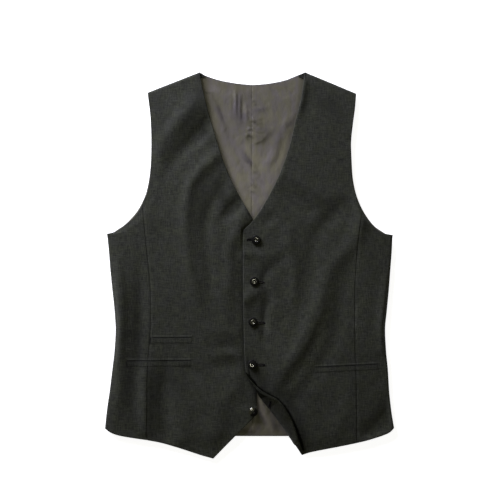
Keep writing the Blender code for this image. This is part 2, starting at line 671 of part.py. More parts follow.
down_out = stations(FLANK_LEFT, 1)
down_in = stations(ROWS_LEFT, 1)[:len(down_out)]
seam = edge(through(SEAM_LEFT), down_in)
seam[:, 0] += HALF
flank = edge(through(SIDE_LEFT), down_out)
share = 1 - np.array([0, 0.012, 0.035, 0.075, 0.27, 0.5, 0.75, 1.0])[::-1]
hem_line, head = at_share(HEM_SIDE_LEFT, share), at_share(SCYE_LEFT, share)
hem_line[0], hem_line[-1] = seam[0], flank[0]
head[0], head[-1] = seam[-1], flank[-1]
panel("front_left_side", loft(seam, flank, hem_line, head, share),
      top_left, FRONT_T, wool_side)

# ------------------------------------------- shoulder strap ends in the neck
tab_cloth = cloth("wool_strap_end", WOOL, 0.85)
for name, corners in (
        ("strap_end_right", ((201.9, 80.8), (207.4, 77.2), (200.9, 72.9),
                             (204.4, 75.0))),
        ("strap_end_left", ((297.0, 76.4), (303.0, 80.8), (300.2, 74.6),
                            (303.9, 72.9)))):
    a, b, c, d = (np.array(p, float) for p in corners)
    grid = np.array([[(1 - v) * ((1 - u) * a + u * b) + v * ((1 - u) * c + u * d)
                      for u in np.linspace(0, 1, 4)] for v in np.linspace(0, 1, 4)])
    panel(name, grid,
          lambda x, y: np.full_like(x, LINING_TOP + GAP + TAB_T), TAB_T, tab_cloth)

# --------------------------------------------------------------------- welts
welt_cloth = cloth("wool_welt", (0.030, 0.031, 0.027), 0.85)
for name, x1, y1, x2, y2, width in WELTS:
    top = top_left if name.endswith("left") else top_right
    direction = np.array([x2 - x1, y2 - y1])
    direction /= np.hypot(*direction)
    downwards = np.array([-direction[1], direction[0]])
    drop = width / SQUARE
    grid = np.array([[np.array([x1, y1]) + (np.array([x2, y2]) - [x1, y1]) * u
                      + downwards * drop * (1 - v)
                      for u in np.linspace(0, 1, 15)] for v in (0, 0.5, 1)])
    panel(name, grid, lambda x, y: top(x, y) + GAP + 0.15, WELT_T, welt_cloth,
          up=True)


# ------------------------------------------------------- buttons and shanks
horn = cloth("button_black", (0.006, 0.006, 0.007), 0.18)
thread = cloth("button_thread", (0.012, 0.010, 0.012), 0.7)

# radius, height, from the top of the axis outwards and down
BUTTON_PROFILE = [(0.0, 2.35), (3.5, 2.35), (4.4, 2.95), (5.5, 3.4),
                  (6.9, 3.1), (BUTTON_R, 2.1), (7.4, 0.9), (5.6, 0.1), (0.0, 0.0)]

button_mesh = bpy.data.meshes.new("button_profile")
button_mesh.from_pydata([(r / 1000, 0, h / 1000) for r, h in BUTTON_PROFILE],
                        [(k, k + 1) for k in range(len(BUTTON_PROFILE) - 1)], [])
button_mesh.materials.append(horn)


def drill(name, spots, radius, low, high, sides, matrix):
    """One cutter of upright round bars."""
    bm = bmesh.new()
    for sx, sy in spots:
        bar = bmesh.ops.create_cone(
            bm, cap_ends=True, segments=sides, radius1=radius, radius2=radius,
            depth=high - low,
            matrix=Matrix.Translation((sx, sy, (low + high) / 2)))
    bmesh.ops.recalc_face_normals(bm, faces=bm.faces)
    mesh = bpy.data.meshes.new(name)
    bm.to_mesh(mesh)
    bm.free()
    bar = bpy.data.objects.new(name, mesh)
    bar.matrix_world = matrix
    bar.hide_render = True
    bar.display_type = "WIRE"
    cutters.objects.link(bar)
    return bar


def cut(thing, cutter):
    m = thing.modifiers.new(cutter.name, "BOOLEAN")
    m.operation = "DIFFERENCE"
    m.solver = "EXACT"
    m.object = cutter


def height_at(surface, x, y):
    return float(surface(np.array([x]), np.array([y]))[0])


out = BUTTON_HOLE_OUT / 1000
for number, (name, bx, by, sx, sy, tilt) in enumerate(BUTTONS, 1):
    lapped = number < 5
    cloth_top = height_at(top_left if lapped else top_right, bx, by)
    seat = cloth_top + 0.95 + abs(math.sin(math.radians(tilt))) * BUTTON_R * 0.6
    thing = bpy.data.objects.new(name, button_mesh)
    garment.objects.link(thing)
    bx_m, by_m, seat_m = place(bx, by, seat)
    turn = Matrix.Rotation(math.radians(tilt), 4, "Y")
    thing.matrix_world = Matrix.Translation((bx_m, by_m, seat_m)) @ turn
    spin = thing.modifiers.new("turned", "SCREW")
    spin.axis = "Z"
    spin.steps = spin.render_steps = 20
    spin.use_merge_vertices = True
    spin.merge_threshold = 0.00001
    spin.use_normal_calculate = False
    cut(thing, drill(f"{name}_holes",
                     [(out, out), (-out, out), (out, -out), (-out, -out)],
                     BUTTON_HOLE_R / 1000, -0.002, 0.006, 8, thing.matrix_world))
    foot = height_at(top_right, sx, sy) + GAP
    under = seat - GAP - (sx - bx) * SQUARE * math.tan(math.radians(tilt)) \
        - abs(math.sin(math.radians(tilt))) * SHANK_R
    post = bmesh.new()
    bmesh.ops.create_cone(post, cap_ends=True, segments=10,
                          radius1=SHANK_R / 1000, radius2=SHANK_R / 1000 * 0.85,
                          depth=(under - foot) / 1000)
    mesh = bpy.data.meshes.new(f"shank_{number}")
    post.to_mesh(mesh)
    post.free()
    mesh.materials.append(thread)
    shank = bpy.data.objects.new(f"shank_{number}", mesh)
    px, py, pz = place(sx, sy, (foot + under) / 2)
    shank.location = (px, py, pz)
    garment.objects.link(shank)

# ---------------------------------------------------------------- buttonholes
for number, (x1, x2, eye, y) in enumerate(BUTTONHOLES, 1):
    bm = bmesh.new()
    length = (x2 - x1) * SQUARE / 1000
    bmesh.ops.create_cube(bm, size=1.0, matrix=Matrix.Translation(
        (length / 2, 0, 0)) @ Matrix.Diagonal((length, SLOT_W / 1000, 0.012, 1)))
    mesh = bpy.data.meshes.new(f"hole_{number}_slot")
    bm.to_mesh(mesh)
    bm.free()
    slot = bpy.data.objects.new(f"hole_{number}_slot", mesh)
    slot.location = place(x1, y, 7.0)
    slot.hide_render = True
    slot.display_type = "WIRE"
    cutters.objects.link(slot)
    cut(front_left, slot)
    sx, sy, sz = place(eye, y, 7.0)
    cut(front_left, drill(f"hole_{number}_eye", [(0, 0)], SLOT_EYE_R / 1000,
                          -0.006, 0.006, 12, Matrix.Translation((sx, sy, sz))))

# the fifth buttonhole, through the turned-back corner and its facing
low, high = HOLE_5
rings = []
for t in np.linspace(0, 1, 5):
    s = low[0] + (high[0] - low[0]) * t
    depth = low[1] + (high[1] - low[1]) * t
    half = SLOT_W / 2 / SQUARE
    rings.append([turned(s - half, depth, -1.5), turned(s + half, depth, -1.5),
                  turned(s + half, depth, 5.5), turned(s - half, depth, 5.5)])
bm = bmesh.new()
corners = [[bm.verts.new(p) for p in ring] for ring in rings]
for one, two in zip(corners, corners[1:]):
    for k in range(4):
        bm.faces.new((one[k], one[k - 1], two[k - 1], two[k]))
bm.faces.new(corners[0])
bm.faces.new(corners[-1][::-1])
bmesh.ops.recalc_face_normals(bm, faces=bm.faces)
mesh = bpy.data.meshes.new("hole_5_slot")
bm.to_mesh(mesh)
bm.free()
slot = bpy.data.objects.new("hole_5_slot", mesh)
slot.hide_render = True
slot.display_type = "WIRE"
cutters.objects.link(slot)
cut(front_left, slot)
cut(facing, slot)
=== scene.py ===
"""Looks of a man's suit waistcoat, lying flat on its back, face up.

Every piece of cloth is a closed shell on the form of its CAD solid, drawn on
the same drafting sheet: "across" counts squares to the wearer's left, "down"
counts squares towards the hem, and heights are in millimetres.  The wearer's
right is on the viewer's left.
"""
import math

import bmesh
import bpy
import numpy as np
from mathutils import Matrix, Vector


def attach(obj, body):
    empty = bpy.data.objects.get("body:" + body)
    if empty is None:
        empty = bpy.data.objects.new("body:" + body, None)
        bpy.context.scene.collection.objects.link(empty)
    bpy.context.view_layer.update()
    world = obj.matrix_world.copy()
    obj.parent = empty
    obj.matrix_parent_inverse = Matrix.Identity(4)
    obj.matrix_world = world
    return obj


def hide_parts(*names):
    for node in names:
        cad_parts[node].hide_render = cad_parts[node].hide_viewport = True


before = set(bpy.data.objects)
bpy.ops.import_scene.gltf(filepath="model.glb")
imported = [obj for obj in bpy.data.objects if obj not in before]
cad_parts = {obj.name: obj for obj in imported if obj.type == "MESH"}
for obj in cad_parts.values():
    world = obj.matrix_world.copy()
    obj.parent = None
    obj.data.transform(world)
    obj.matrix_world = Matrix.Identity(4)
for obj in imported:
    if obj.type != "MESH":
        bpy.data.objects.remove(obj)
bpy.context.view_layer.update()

# ---------------------------------------------------------------- dimensions
SQUARE = 1.66
CENTRE_ACROSS = 249.5
CENTRE_DOWN = 265.35
GAP = 0.3
BACK_T = 1.0
LINING_T = 1.0
FRONT_T = 2.0
FACING_T = 1.0
WELT_T = 1.2
TAB_T = 1.0
LINING_TOP = BACK_T + GAP + LINING_T
FRONT_TOP = LINING_TOP + GAP + FRONT_T
LAP_TOP = FRONT_TOP + GAP + FRONT_T + 0.15
SIDE_ROLL = 4.5
SIDE_DROP = 2.3
CENTRE_BACK = 252.0
BACK_HEM = 436.5
LINING_SHORT = 0.9
BUTTON_R = 7.75
BUTTON_HOLE_R = 0.85
BUTTON_HOLE_OUT = 1.55
SLOT_W = 1.5
SLOT_EYE_R = 2.1

DOME = 3.3               # mm, height of the fronts away from their edges
MAX_RISE = 7.7           # mm that a front may stand off the lining
SEAM_GAP = 0.015         # squares, each side of a side-panel seam

# ------------------------------------------------------- outlines, in squares
# down, across
SIDE_RIGHT = [(428.5, 104.8), (410, 106.8), (390, 109.7), (370, 112.1),
              (350, 114.4), (330, 115.5), (310, 114.3), (290, 112.2),
              (270, 110.2), (250, 108.6), (240, 107.6), (233.8, 107.0)]
SIDE_LEFT = [(428.0, 394.2), (410, 391.3), (390, 389.2), (370, 388.0),
             (350, 386.1), (330, 385.2), (310, 387.0), (290, 388.9),
             (270, 390.4), (250, 391.9), (240, 392.4), (235.0, 392.8)]
ARMHOLE_RIGHT = [(203.6, 142.5), (196, 145.9), (188, 148.2), (176, 150.0),
                 (160, 151.0), (144, 151.3), (128, 151.0), (112, 149.9),
                 (100, 148.4), (92.5, 147.5)]
ARMHOLE_LEFT = [(212.0, 362.5), (200, 357.0), (190, 354.1), (180, 352.2),
                (168, 351.2), (152, 350.8), (140, 351.2), (124, 352.9),
                (108, 355.0), (93.5, 356.2)]
# across, down
SCYE_RIGHT = [(107.0, 233.8), (111.5, 232.8), (117.0, 230.8), (124.0, 226.0),
              (130.3, 220.8), (134.9, 216.0), (138.8, 210.7), (142.5, 203.6)]
SCYE_LEFT = [(362.5, 212.0), (365.2, 216.4), (368.4, 220.7), (373.0, 226.0),
             (378.5, 230.7), (385.0, 233.6), (392.8, 235.0)]
# down, across
SEAM_RIGHT = [(440.1, 147.0), (400, 147.4), (370, 147.8), (352, 148.7),
              (336, 150.4), (312, 151.0), (289, 150.6), (248, 146.7),
              (232, 145.1), (218, 143.8), (203.6, 142.5)]
SEAM_LEFT = [(443.0, 356.9), (400, 356.4), (373, 355.9), (345, 355.0),
             (316, 354.6), (289, 354.9), (248, 357.4), (230, 359.4),
             (218, 361.1), (212.0, 362.5)]
EDGE_RIGHT = [(414.5, 256.6), (394, 256.8), (300, 257.3), (240, 257.4),
              (228, 257.0), (222, 254.6), (214, 250.0), (202, 242.8),
              (190, 236.1), (178, 230.3), (166, 225.2), (154, 220.9),
              (142, 217.1), (130, 213.5), (118, 210.0), (106, 206.8),
              (94, 203.9), (82, 201.3), (72, 199.9)]
LAP_LEFT = [(372.0, 246.0), (366, 245.2), (355, 244.5), (340, 244.1),
            (300, 243.4), (262, 243.0), (232.2, 243.0)]
NECK_LEFT = [(222.5, 251.5), (214, 258.0), (202, 265.4), (190, 272.0),
             (178, 277.9), (166, 282.8), (154, 287.0), (142, 290.6),
             (130, 293.4), (118, 296.2), (106, 299.2), (94, 301.8),
             (82, 303.4), (72, 304.7)]
# across, down
HEM_SIDE_RIGHT = [(104.8, 428.5), (110, 432.3), (115, 434.4), (122, 436.2),
                  (134, 438.2), (147.0, 440.1)]
HEM_RIGHT = [(147.0, 440.1), (160, 442.6), (174, 446.5), (188, 451.0),
             (202, 455.6), (213.3, 458.7)]
CUTAWAY_RIGHT = [(213.3, 458.7), (223.2, 448.4), (233.4, 438.0),
                 (245.2, 426.0), (256.6, 414.5)]
HEM_LEFT = [(303.0, 455.0), (311, 452.4), (322, 450.0), (334, 447.7),
            (346, 445.3), (356.9, 443.0)]
HEM_SIDE_LEFT = [(356.9, 443.0), (366, 440.8), (376, 437.8), (384, 435.1),
                 (390, 432.2), (394.2, 428.0)]
SHOULDER_RIGHT = [(147.5, 92.5), (173.7, 82.3), (199.9, 72.0)]
SHOULDER_LEFT = [(304.7, 72.0), (330.4, 82.7), (356.2, 93.5)]
# down, across
BACK_RIGHT = [(426.5, 109.0), (410, 110.6), (390, 113.4), (370, 115.8),
              (350, 118.1), (330, 119.2), (310, 118.0), (290, 115.9),
              (270, 113.8), (250, 112.4), (235, 112.0), (231, 115.2),
              (226.5, 122.0), (220, 129.4), (210, 137.7), (200, 143.1),
              (190, 146.7), (176, 149.3), (160, 150.8), (140, 151.6),
              (118, 151.3), (96.5, 149.2)]
BACK_LEFT = [(426.0, 390.0), (410, 387.5), (390, 385.5), (370, 384.3),
             (350, 382.5), (330, 381.5), (310, 383.3), (290, 385.2),
             (270, 386.7), (250, 388.2), (236, 388.4), (232, 383.0),
             (227, 375.6), (220, 369.3), (210, 362.9), (200, 358.3),
             (190, 355.2), (176, 352.8), (160, 351.8), (140, 351.2),
             (118, 353.3), (97.4, 354.6)]
# across, down
BACK_HEM_RIGHT = [(109.0, 426.5), (118, 431.2), (130, 434.2), (150, 436.2),
                  (175, 436.5), (252.0, 436.5)]
BACK_HEM_LEFT = [(252.0, 436.5), (325, 436.5), (350, 435.6), (370, 432.8),
                 (382, 429.4), (390.0, 426.0)]
BACK_NECK_RIGHT = [(204.0, 74.6), (210, 77.0), (218, 79.5), (228, 81.7),
                   (239, 83.4), (252.0, 84.6)]
BACK_NECK_LEFT = [(252.0, 84.6), (264, 83.8), (275, 82.2), (286, 79.7),
                  (294, 76.5), (300.4, 73.8)]

# steps, outer down, inner down
ROWS_RIGHT = [(0, 440.1, 414.5), (2, 412.0, 395.0), (5, 338.0, 330.0),
              (7, 236.0, 228.0), (2, 203.6, 202.0), (7, 100.0, 80.0),
              (1, 95.0, 74.6), (1, 93.2, 72.7), (1, 92.5, 72.0)]
ROWS_LEFT = [(0, 443.0, 455.0), (10, 372.0, 372.0), (9, 234.0, 232.2),
             (1, 224.0, 222.5), (1, 212.0, 212.0), (8, 101.0, 80.0),
             (1, 96.0, 74.6), (1, 94.2, 72.7), (1, 93.5, 72.0)]
FLANK_RIGHT = [(0, 428.5), (7, 334.0), (7, 243.0), (1, 237.0), (1, 233.8)]
FLANK_LEFT = [(0, 428.0), (10, 366.0), (9, 243.5), (1, 238.5), (1, 235.0)]
ROWS_BACK = [(0, 426.3, 436.5), (5, 330.0, 330.0), (3, 250.0, 252.0),
             (1, 235.5, 236.0), (1, 231.5, 226.0), (1, 226.5, 214.0),
             (1, 220.0, 204.0), (1, 210.0, 190.0), (1, 200.0, 174.0),
             (1, 190.0, 160.0), (2, 160.0, 136.0), (3, 118.0, 106.0),
             (3, 97.0, 84.6)]

# ----------------------------------------- folds in the fronts, squares and mm
# Each fold is a line of stations: across, down, half width, rise.
FOLDS_RIGHT = {
    "ridge above the chest hollow": [
        (203, 92, 12, 0.3), (196, 102, 12, 2.2), (188, 112, 12, 3.8),
        (181, 120, 12, 4.0), (174, 128, 12, 3.5), (166, 139, 12, 2.6),
        (160, 151, 12, 1.3)],
    "hollow across the chest": [
        (213, 115, 10, -2.8), (207, 126, 10, -4.0), (200, 134, 10, -4.3),
        (192, 142, 10, -3.8), (184, 150, 10, -2.9), (176, 159, 10, -2.0),
        (169, 170, 11, -1.2), (163, 184, 13, -1.0), (161, 204, 14, -0.8)],
    "ridge below it": [
        (221, 153, 9, 2.0), (212, 160, 9, 2.8), (204, 167, 9, 3.2),
        (197, 175, 9, 3.4), (191, 184, 9, 3.4), (188, 196, 9, 3.2),
        (186, 212, 9, 3.0), (186, 232, 9, 2.6), (188, 250, 9, 2.2),
        (190, 268, 9, 2.0), (193, 283, 9, 2.0), (197, 298, 9, 1.4),
        (202, 312, 9, 0.5)],
    "long hollow down the front": [
        (226, 178, 9, -0.8), (220, 190, 10, -1.9), (214, 202, 10, -2.7),
        (208, 216, 10, -2.7), (206, 232, 9, -2.2), (207, 252, 9, -1.9),
        (209, 270, 9, -1.7), (210, 286, 9, -1.5), (213, 300, 9, -1.2),
        (217, 314, 9, -0.8)],
    "dimple at the foot of the neck edge": [
        (243, 198, 9, -3.0), (236, 206, 9, -4.2), (229, 213, 9, -3.6),
        (221, 222, 9, -1.6)],
    "swell beside the dimple": [
        (247, 214, 8, 0.9), (242, 222, 9, 2.2), (236, 232, 9, 2.7),
        (232, 243, 9, 2.3), (230, 256, 9, 1.7), (230, 270, 9, 1.7),
        (229, 285, 9, 1.7), (229, 300, 9, 0.9), (229, 314, 9, 0.2)],
    "hollow beside the side panel": [
        (160, 232, 14, -0.7), (161, 248, 14, -0.9), (164, 264, 14, -0.5)],
    "ridge along the side": [
        (118, 262, 9, 1.0), (119, 278, 9, 2.8), (120, 294, 9, 3.9),
        (120, 310, 9, 4.3), (120, 328, 9, 4.3), (119.5, 342, 9, 4.0),
        (119, 356, 9, 3.3), (119, 370, 9, 2.4), (119.5, 386, 9, 2.8),
        (119, 400, 9, 2.0), (117, 412, 9, 0.6)],
    "ridge in the side panel": [
        (146, 364, 8, 0.8), (145, 378, 8, 2.6), (145, 396, 8, 3.1),
        (145, 414, 8, 2.9), (146, 430, 8, 1.8)],
    "hollow below the pockets": [
        (165, 366, 9, -1.4), (165, 382, 9, -3.0), (164, 398, 9, -3.4),
        (165, 412, 9, -3.3), (166, 426, 9, -2.8), (168, 440, 9, -1.6)],
    "swell over the cutaway": [
        (200, 388, 14, 0.6), (210, 400, 15, 1.8), (218, 412, 15, 2.2),
        (216, 430, 14, 2.0)],
    "hollow beside the side ridge": [
        (139, 266, 9, -0.6), (140, 284, 9, -1.8), (140, 306, 9, -2.4),
        (140, 326, 9, -2.5), (139, 346, 9, -2.2), (137, 362, 9, -1.4),
        (135, 384, 8, -1.2), (134, 402, 8, -0.6)],
    "hollow under the lower pocket": [
        (180, 370, 9, -0.4), (196, 372, 10, -0.8), (212, 377, 10, -0.6)],
    "swell at the hem": [(184, 416, 10, 0.5), (183, 438, 10, 1.3)],
    "swell at the foot of the lap": [
        (240, 374, 11, 1.2), (236, 386, 12, 1.5), (226, 398, 12, 1.2)],
    "ridge between the pockets": [
        (208, 330, 7, 0.2), (222, 331, 7, 0.9), (236, 333, 7, 0.7)],
    "hollow between the pockets": [
        (208, 347, 6, -0.2), (224, 346, 6, -0.8), (238, 347, 6, -0.6)],
    "ridge at the second pocket": [
        (210, 355, 6, 0.2), (226, 354, 6, 0.7), (238, 355, 6, 0.5)],
    "hollow at the second pocket": [
        (208, 366, 8, -0.3), (224, 366, 8, -1.2), (238, 367, 8, -0.6)],
}
FOLDS_LEFT = {
    "rolled neck edge": [
        (304, 80, 6, 1.6), (302.5, 92, 6, 2.8), (300, 106, 6, 2.6),
        (297, 118, 7, 1.3), (291.5, 140, 8, 0.8), (287, 155, 8, 0.9),
        (283, 167, 9, 1.8), (278.5, 178, 9, 2.0), (272, 190, 9, 1.0),
        (266, 203, 8, 0.4)],
    "foot of the roll": [
        (313, 90, 7, -0.5), (310.5, 106, 7, -0.6), (307, 118, 7, -0.3)],
    "shelf beside it": [
        (286, 174, 8, 1.2), (296, 182, 9, 1.8), (308, 190, 9, 1.6),
        (322, 197, 9, 1.4), (336, 194, 9, 0.5)],
    "crease below the chest": [
        (282, 194, 8, -0.9), (294, 203, 9, -1.3), (308, 211, 9, -1.4)],
    "hollow below it": [
        (346, 204, 10, -0.7), (341, 208, 11, -1.5), (335, 214, 11, -2.2),
        (329, 221, 11, -2.2), (321, 229, 11, -1.8), (315, 240, 11, -1.8),
        (312, 255, 11, -1.6), (311, 270, 11, -1.4), (309, 285, 10, -1.0),
        (308, 298, 10, -0.5)],
    "long ridge": [
        (363, 201, 10, 2.6), (364, 212, 11, 3.3), (360, 224, 11, 3.2),
        (355, 237, 11, 2.5), (348, 249, 11, 2.2), (339, 257, 11, 2.1),
        (331, 267, 11, 2.1), (326, 280, 11, 2.2), (322, 295, 11, 2.7),
        (317, 311, 12, 3.4), (311, 326, 12, 3.7), (303, 342, 12, 3.7),
        (296, 354, 12, 3.4), (288, 365, 12, 2.9), (282, 376, 11, 2.2),
        (277, 386, 10, 1.0)],
    "hollow beyond it": [
        (352, 272, 11, -0.4), (345, 285, 11, -1.0), (340, 300, 11, -1.4),
        (338, 320, 11, -1.6), (334, 338, 11, -1.6), (328, 352, 11, -1.5),
        (318, 367, 11, -1.5), (308, 382, 11, -1.4), (298, 396, 11, -1.2),
        (292, 408, 10, -0.8)],
    "swell by the fourth button": [
        (280, 340, 10, 0.4), (278, 354, 11, 0.9), (276, 370, 10, 0.9)],
    "ridge above the second button": [
        (262, 259, 8, 0.5), (273, 254, 8, 0.8), (286, 246, 9, 0.4)],
    "hollow by the third button": [
        (284, 258, 8, -0.5), (272, 268, 8, -1.4), (264, 278, 8, -1.8),
        (266, 290, 8, -1.7), (268, 300, 8, -2.2), (263, 312, 8, -2.4),
        (262, 326, 8, -1.8), (264, 340, 8, -0.9)],
    "ridge beside the buttons": [
        (289, 230, 8, 1.3), (290, 248, 8, 1.5), (293, 264, 8, 1.5),
        (295, 280, 8, 1.6), (293, 296, 8, 1.4), (291, 308, 8, 0.6)],
    "lap between the first buttons": [
        (246, 254, 7, 1.5), (255, 254, 7, 1.5), (264, 254, 7, 0.7)],
    "lap between the next buttons": [
        (246, 299, 8, 1.9), (253, 294, 8, 1.9), (262, 288, 8, 0.9)],
    "ridge along the side": [
        (388, 280, 10, 1.2), (386, 303, 10, 2.8), (384, 326, 10, 3.4),
        (384, 346, 10, 2.0)],
    "swell in the skirt": [
        (353, 382, 12, 0.7), (349, 400, 12, 0.9), (345, 415, 12, 0.9),
        (336, 431, 12, 0.9)],
    "hollow in the skirt": [
        (391, 406, 12, -1.6), (384, 419, 12, -2.6), (370, 433, 12, -2.0)],
}
# lines and patches of painted shade on the wool: along seams, pocket mouths and creases, beside the
# lap and the turned corner and round buttons; a negative share paints light:
# across, down, half width in squares, share darker
SHADE_RIGHT = {
    "ticket pocket mouth": [(150.2, 337.7, 0.9, 0.62), (192, 337.4, 0.9, 0.55)],
    "ticket pocket end": [(150.1, 338, 0.8, 0.62), (149.9, 344, 0.8, 0.55)],
    "ticket welt foot": [(150.6, 343.3, 0.8, 0.42), (191.6, 343.0, 0.8, 0.42)],
    "lower pocket mouth": [(127, 360.8, 0.9, 0.68), (166, 360.7, 0.9, 0.66),
                           (191, 360.4, 0.9, 0.52)],
    "lower pocket end": [(127, 361, 0.8, 0.45), (127, 366, 0.8, 0.40)],
    "lower welt foot": [(127, 366.3, 0.8, 0.45), (160, 366.2, 0.8, 0.35),
                        (191, 366.0, 0.8, 0.50)],
    "over the ticket pocket": [(122, 338, 6, 0.16), (150, 334, 5, 0.16),
                               (190, 334, 4, 0.08)],
    "over the lower pocket": [(122, 356, 5, 0.18), (150, 356, 5, 0.20),
                              (172, 356, 4, 0.12)],
    "below the lower pocket": [(118, 376, 8, 0.14), (146, 378, 8, 0.14),
                               (186, 376, 7, 0.12)],
    "side seam": [(147.0, 438, 0.7, 0.30), (147.8, 370, 0.7, 0.36),
                  (149.6, 336, 0.7, 0.34), (149.8, 289, 0.7, 0.28),
                  (146.4, 248, 0.7, 0.26), (142.8, 209, 0.7, 0.24)],
    "beside the lap": [(243.4, 230, 1.0, 0.15), (242.5, 262, 1.0, 0.35),
                       (242.8, 300, 1.0, 0.42), (243.2, 340, 1.1, 0.45),
                       (244.6, 358, 1.2, 0.50), (246.0, 368, 1.5, 0.72),
                       (247.6, 375, 1.7, 0.80), (251.0, 381.5, 1.8, 0.80),
                       (255.2, 388, 2.2, 0.82), (257.2, 396, 2.4, 0.70),
                       (257.6, 404, 2.2, 0.45), (257.4, 412, 1.8, 0.25)],
    "neck point": [(198.6, 72.6, 1.4, 0.6), (198.8, 78, 1.3, 0.45)],
    "below the shoulder": [(180, 119, 7, 0.26), (191, 106, 9, 0.42), (200, 95, 7, 0.40)],
    "armhole, upper": [(154, 100, 8, 0.22), (162, 120, 10, 0.26), (156, 138, 8, 0.18)],
    "neck edge, upper": [(202, 122, 4, 0.10), (205, 132, 5, 0.38), (212, 142, 4, 0.20)],
    "chest fold end": [(180, 126, 4, -0.16), (177, 136, 4, -0.18)],
    "chest fold 2": [(212, 160, 4, -0.30), (209, 168, 4, -0.28)],
    "neck edge, lower": [(217, 182, 4, 0.28), (221, 194, 5, 0.38), (225, 208, 4, 0.28)],
    "above the waist fold": [(203, 188, 4, 0.22), (201, 204, 5, 0.22), (200, 222, 5, 0.16)],
    "beside it": [(212, 196, 4, -0.18), (210, 214, 4, -0.12)],
    "lap, upper": [(236, 232, 5, -0.26), (240, 244, 4, -0.42), (241, 262, 4, -0.22)],
    "beside the side seam": [(141, 286, 6, 0.16), (138, 306, 7, 0.24),
                             (137, 330, 8, 0.32), (140, 362, 8, 0.34)],
    "skirt, side": [(130, 366, 5, 0.20), (130, 385, 6, 0.40), (131, 404, 6, 0.34),
                    (130, 424, 6, 0.18)],
    "skirt, seam": [(154, 372, 6, 0.24), (154, 392, 6, 0.36), (153, 412, 6, 0.34),
                    (154, 432, 6, 0.26)],
    "skirt, front": [(169, 368, 6, 0.18), (171, 384, 6, 0.38), (168, 398, 5, 0.22)],
    "skirt, lap": [(236, 396, 5, -0.24), (240, 404, 4, -0.34)],
    "point": [(238, 430, 5, -0.20), (226, 442, 5, -0.36), (216, 452, 5, -0.28),
              (200, 450, 5, -0.26), (186, 444, 4, -0.20)],
    "foot of the neck edge": [(246, 208, 1.6, 0.55), (249, 214, 1.4, 0.5)],
}
SHADE_LEFT = {
    "lower pocket mouth": [(315, 367.1, 0.9, 0.45), (322, 366.8, 1.0, 0.68),
                           (350, 365.5, 1.0, 0.68), (377, 364.1, 0.9, 0.50)],
    "lower welt foot": [(315, 372.5, 0.8, 0.34), (377, 369.5, 0.8, 0.36)],
    "over the lower pocket": [(320, 361, 4, 0.12), (376, 359, 5, 0.14)],
    "side seam": [(356.7, 441, 0.7, 0.26), (355.8, 373, 0.7, 0.30),
                  (354.5, 316, 0.7, 0.30), (357.3, 248, 0.7, 0.26),
                  (361.0, 219, 0.7, 0.22)],
    "neck point": [(304.7, 72.4, 1.3, 0.6), (305.2, 78, 1.2, 0.5)],
    "above the turned corner": [
        (246.8, 350, 1.0, 0.20), (247.8, 361, 1.1, 0.50), (248.6, 370, 1.2, 0.75),
        (249.8, 376.6, 1.3, 0.88), (252.2, 381.0, 1.4, 0.92),
        (256.0, 385.6, 1.5, 0.92), (260.4, 388.9, 1.5, 0.92),
        (266.0, 392.4, 1.4, 0.88), (271.6, 395.4, 1.4, 0.84), (277.6, 398.6, 1.4, 0.80),
        (284.0, 405.6, 1.6, 0.80), (288.9, 412.8, 1.8, 0.88), (292.6, 420, 1.9, 0.93),
        (296.8, 430, 2.0, 0.93), (300.6, 440, 2.0, 0.92), (303.4, 450, 1.8, 0.75)],
    "beside the turned corner": [
        (251, 362, 7, 0.22), (258, 377, 9, 0.34), (266, 385, 8, 0.36),
        (276, 390, 8, 0.28), (287, 399, 8, 0.36), (294, 410, 7, 0.46),
        (299, 422, 6, 0.46), (303, 434, 5, 0.34)],
    "above the third button": [(253, 297, 5, 0.12), (250, 306, 6, 0.30),
                               (249.5, 315, 5, 0.30)],
    "below the shoulder": [(315, 96, 8, 0.26), (330, 105, 8, 0.32), (338, 116, 7, 0.22)],
    "chest": [(290, 180, 8, 0.18), (306, 192, 9, 0.16), (322, 200, 9, 0.18)],
    "armhole": [(352, 178, 5, -0.22), (356, 196, 6, -0.38), (364, 208, 5, -0.34),
                (374, 222, 4, -0.22)],
    "side, upper": [(357, 234, 6, -0.38), (357, 250, 6, -0.46), (355, 268, 6, -0.34),
                    (348, 282, 6, -0.18)],
    "side, middle": [(364, 290, 6, -0.20), (361, 306, 7, -0.34), (358, 322, 7, -0.28),
                     (362, 338, 6, -0.20)],
    "round the second button": [(263, 266, 5, 0.22), (261, 276, 6, 0.32)],
    "round the third button": [(265, 304, 5, 0.26), (260, 314, 5, 0.34)],
    "beside the lap": [(306, 282, 6, -0.26), (300, 296, 8, -0.26), (292, 314, 10, -0.30),
                       (284, 330, 10, -0.34), (280, 346, 8, -0.22)],
    "below the third button": [(266, 326, 4, -0.42), (267, 332, 4, -0.30)],
    "along the long fold": [
        (331, 284, 5, -0.20), (329, 302, 5, -0.38), (322, 318, 5, -0.50),
        (321, 336, 5, -0.62), (315, 352, 5, -0.52), (308, 362, 5, -0.60),
        (299, 376, 5, -0.60), (291, 386, 4, -0.60)],
    "past the long fold": [(305, 386, 5, 0.16), (302, 396, 6, 0.26), (314, 398, 6, 0.20)],
    "skirt": [(354, 376, 6, 0.16), (353, 386, 6, 0.22)],
}

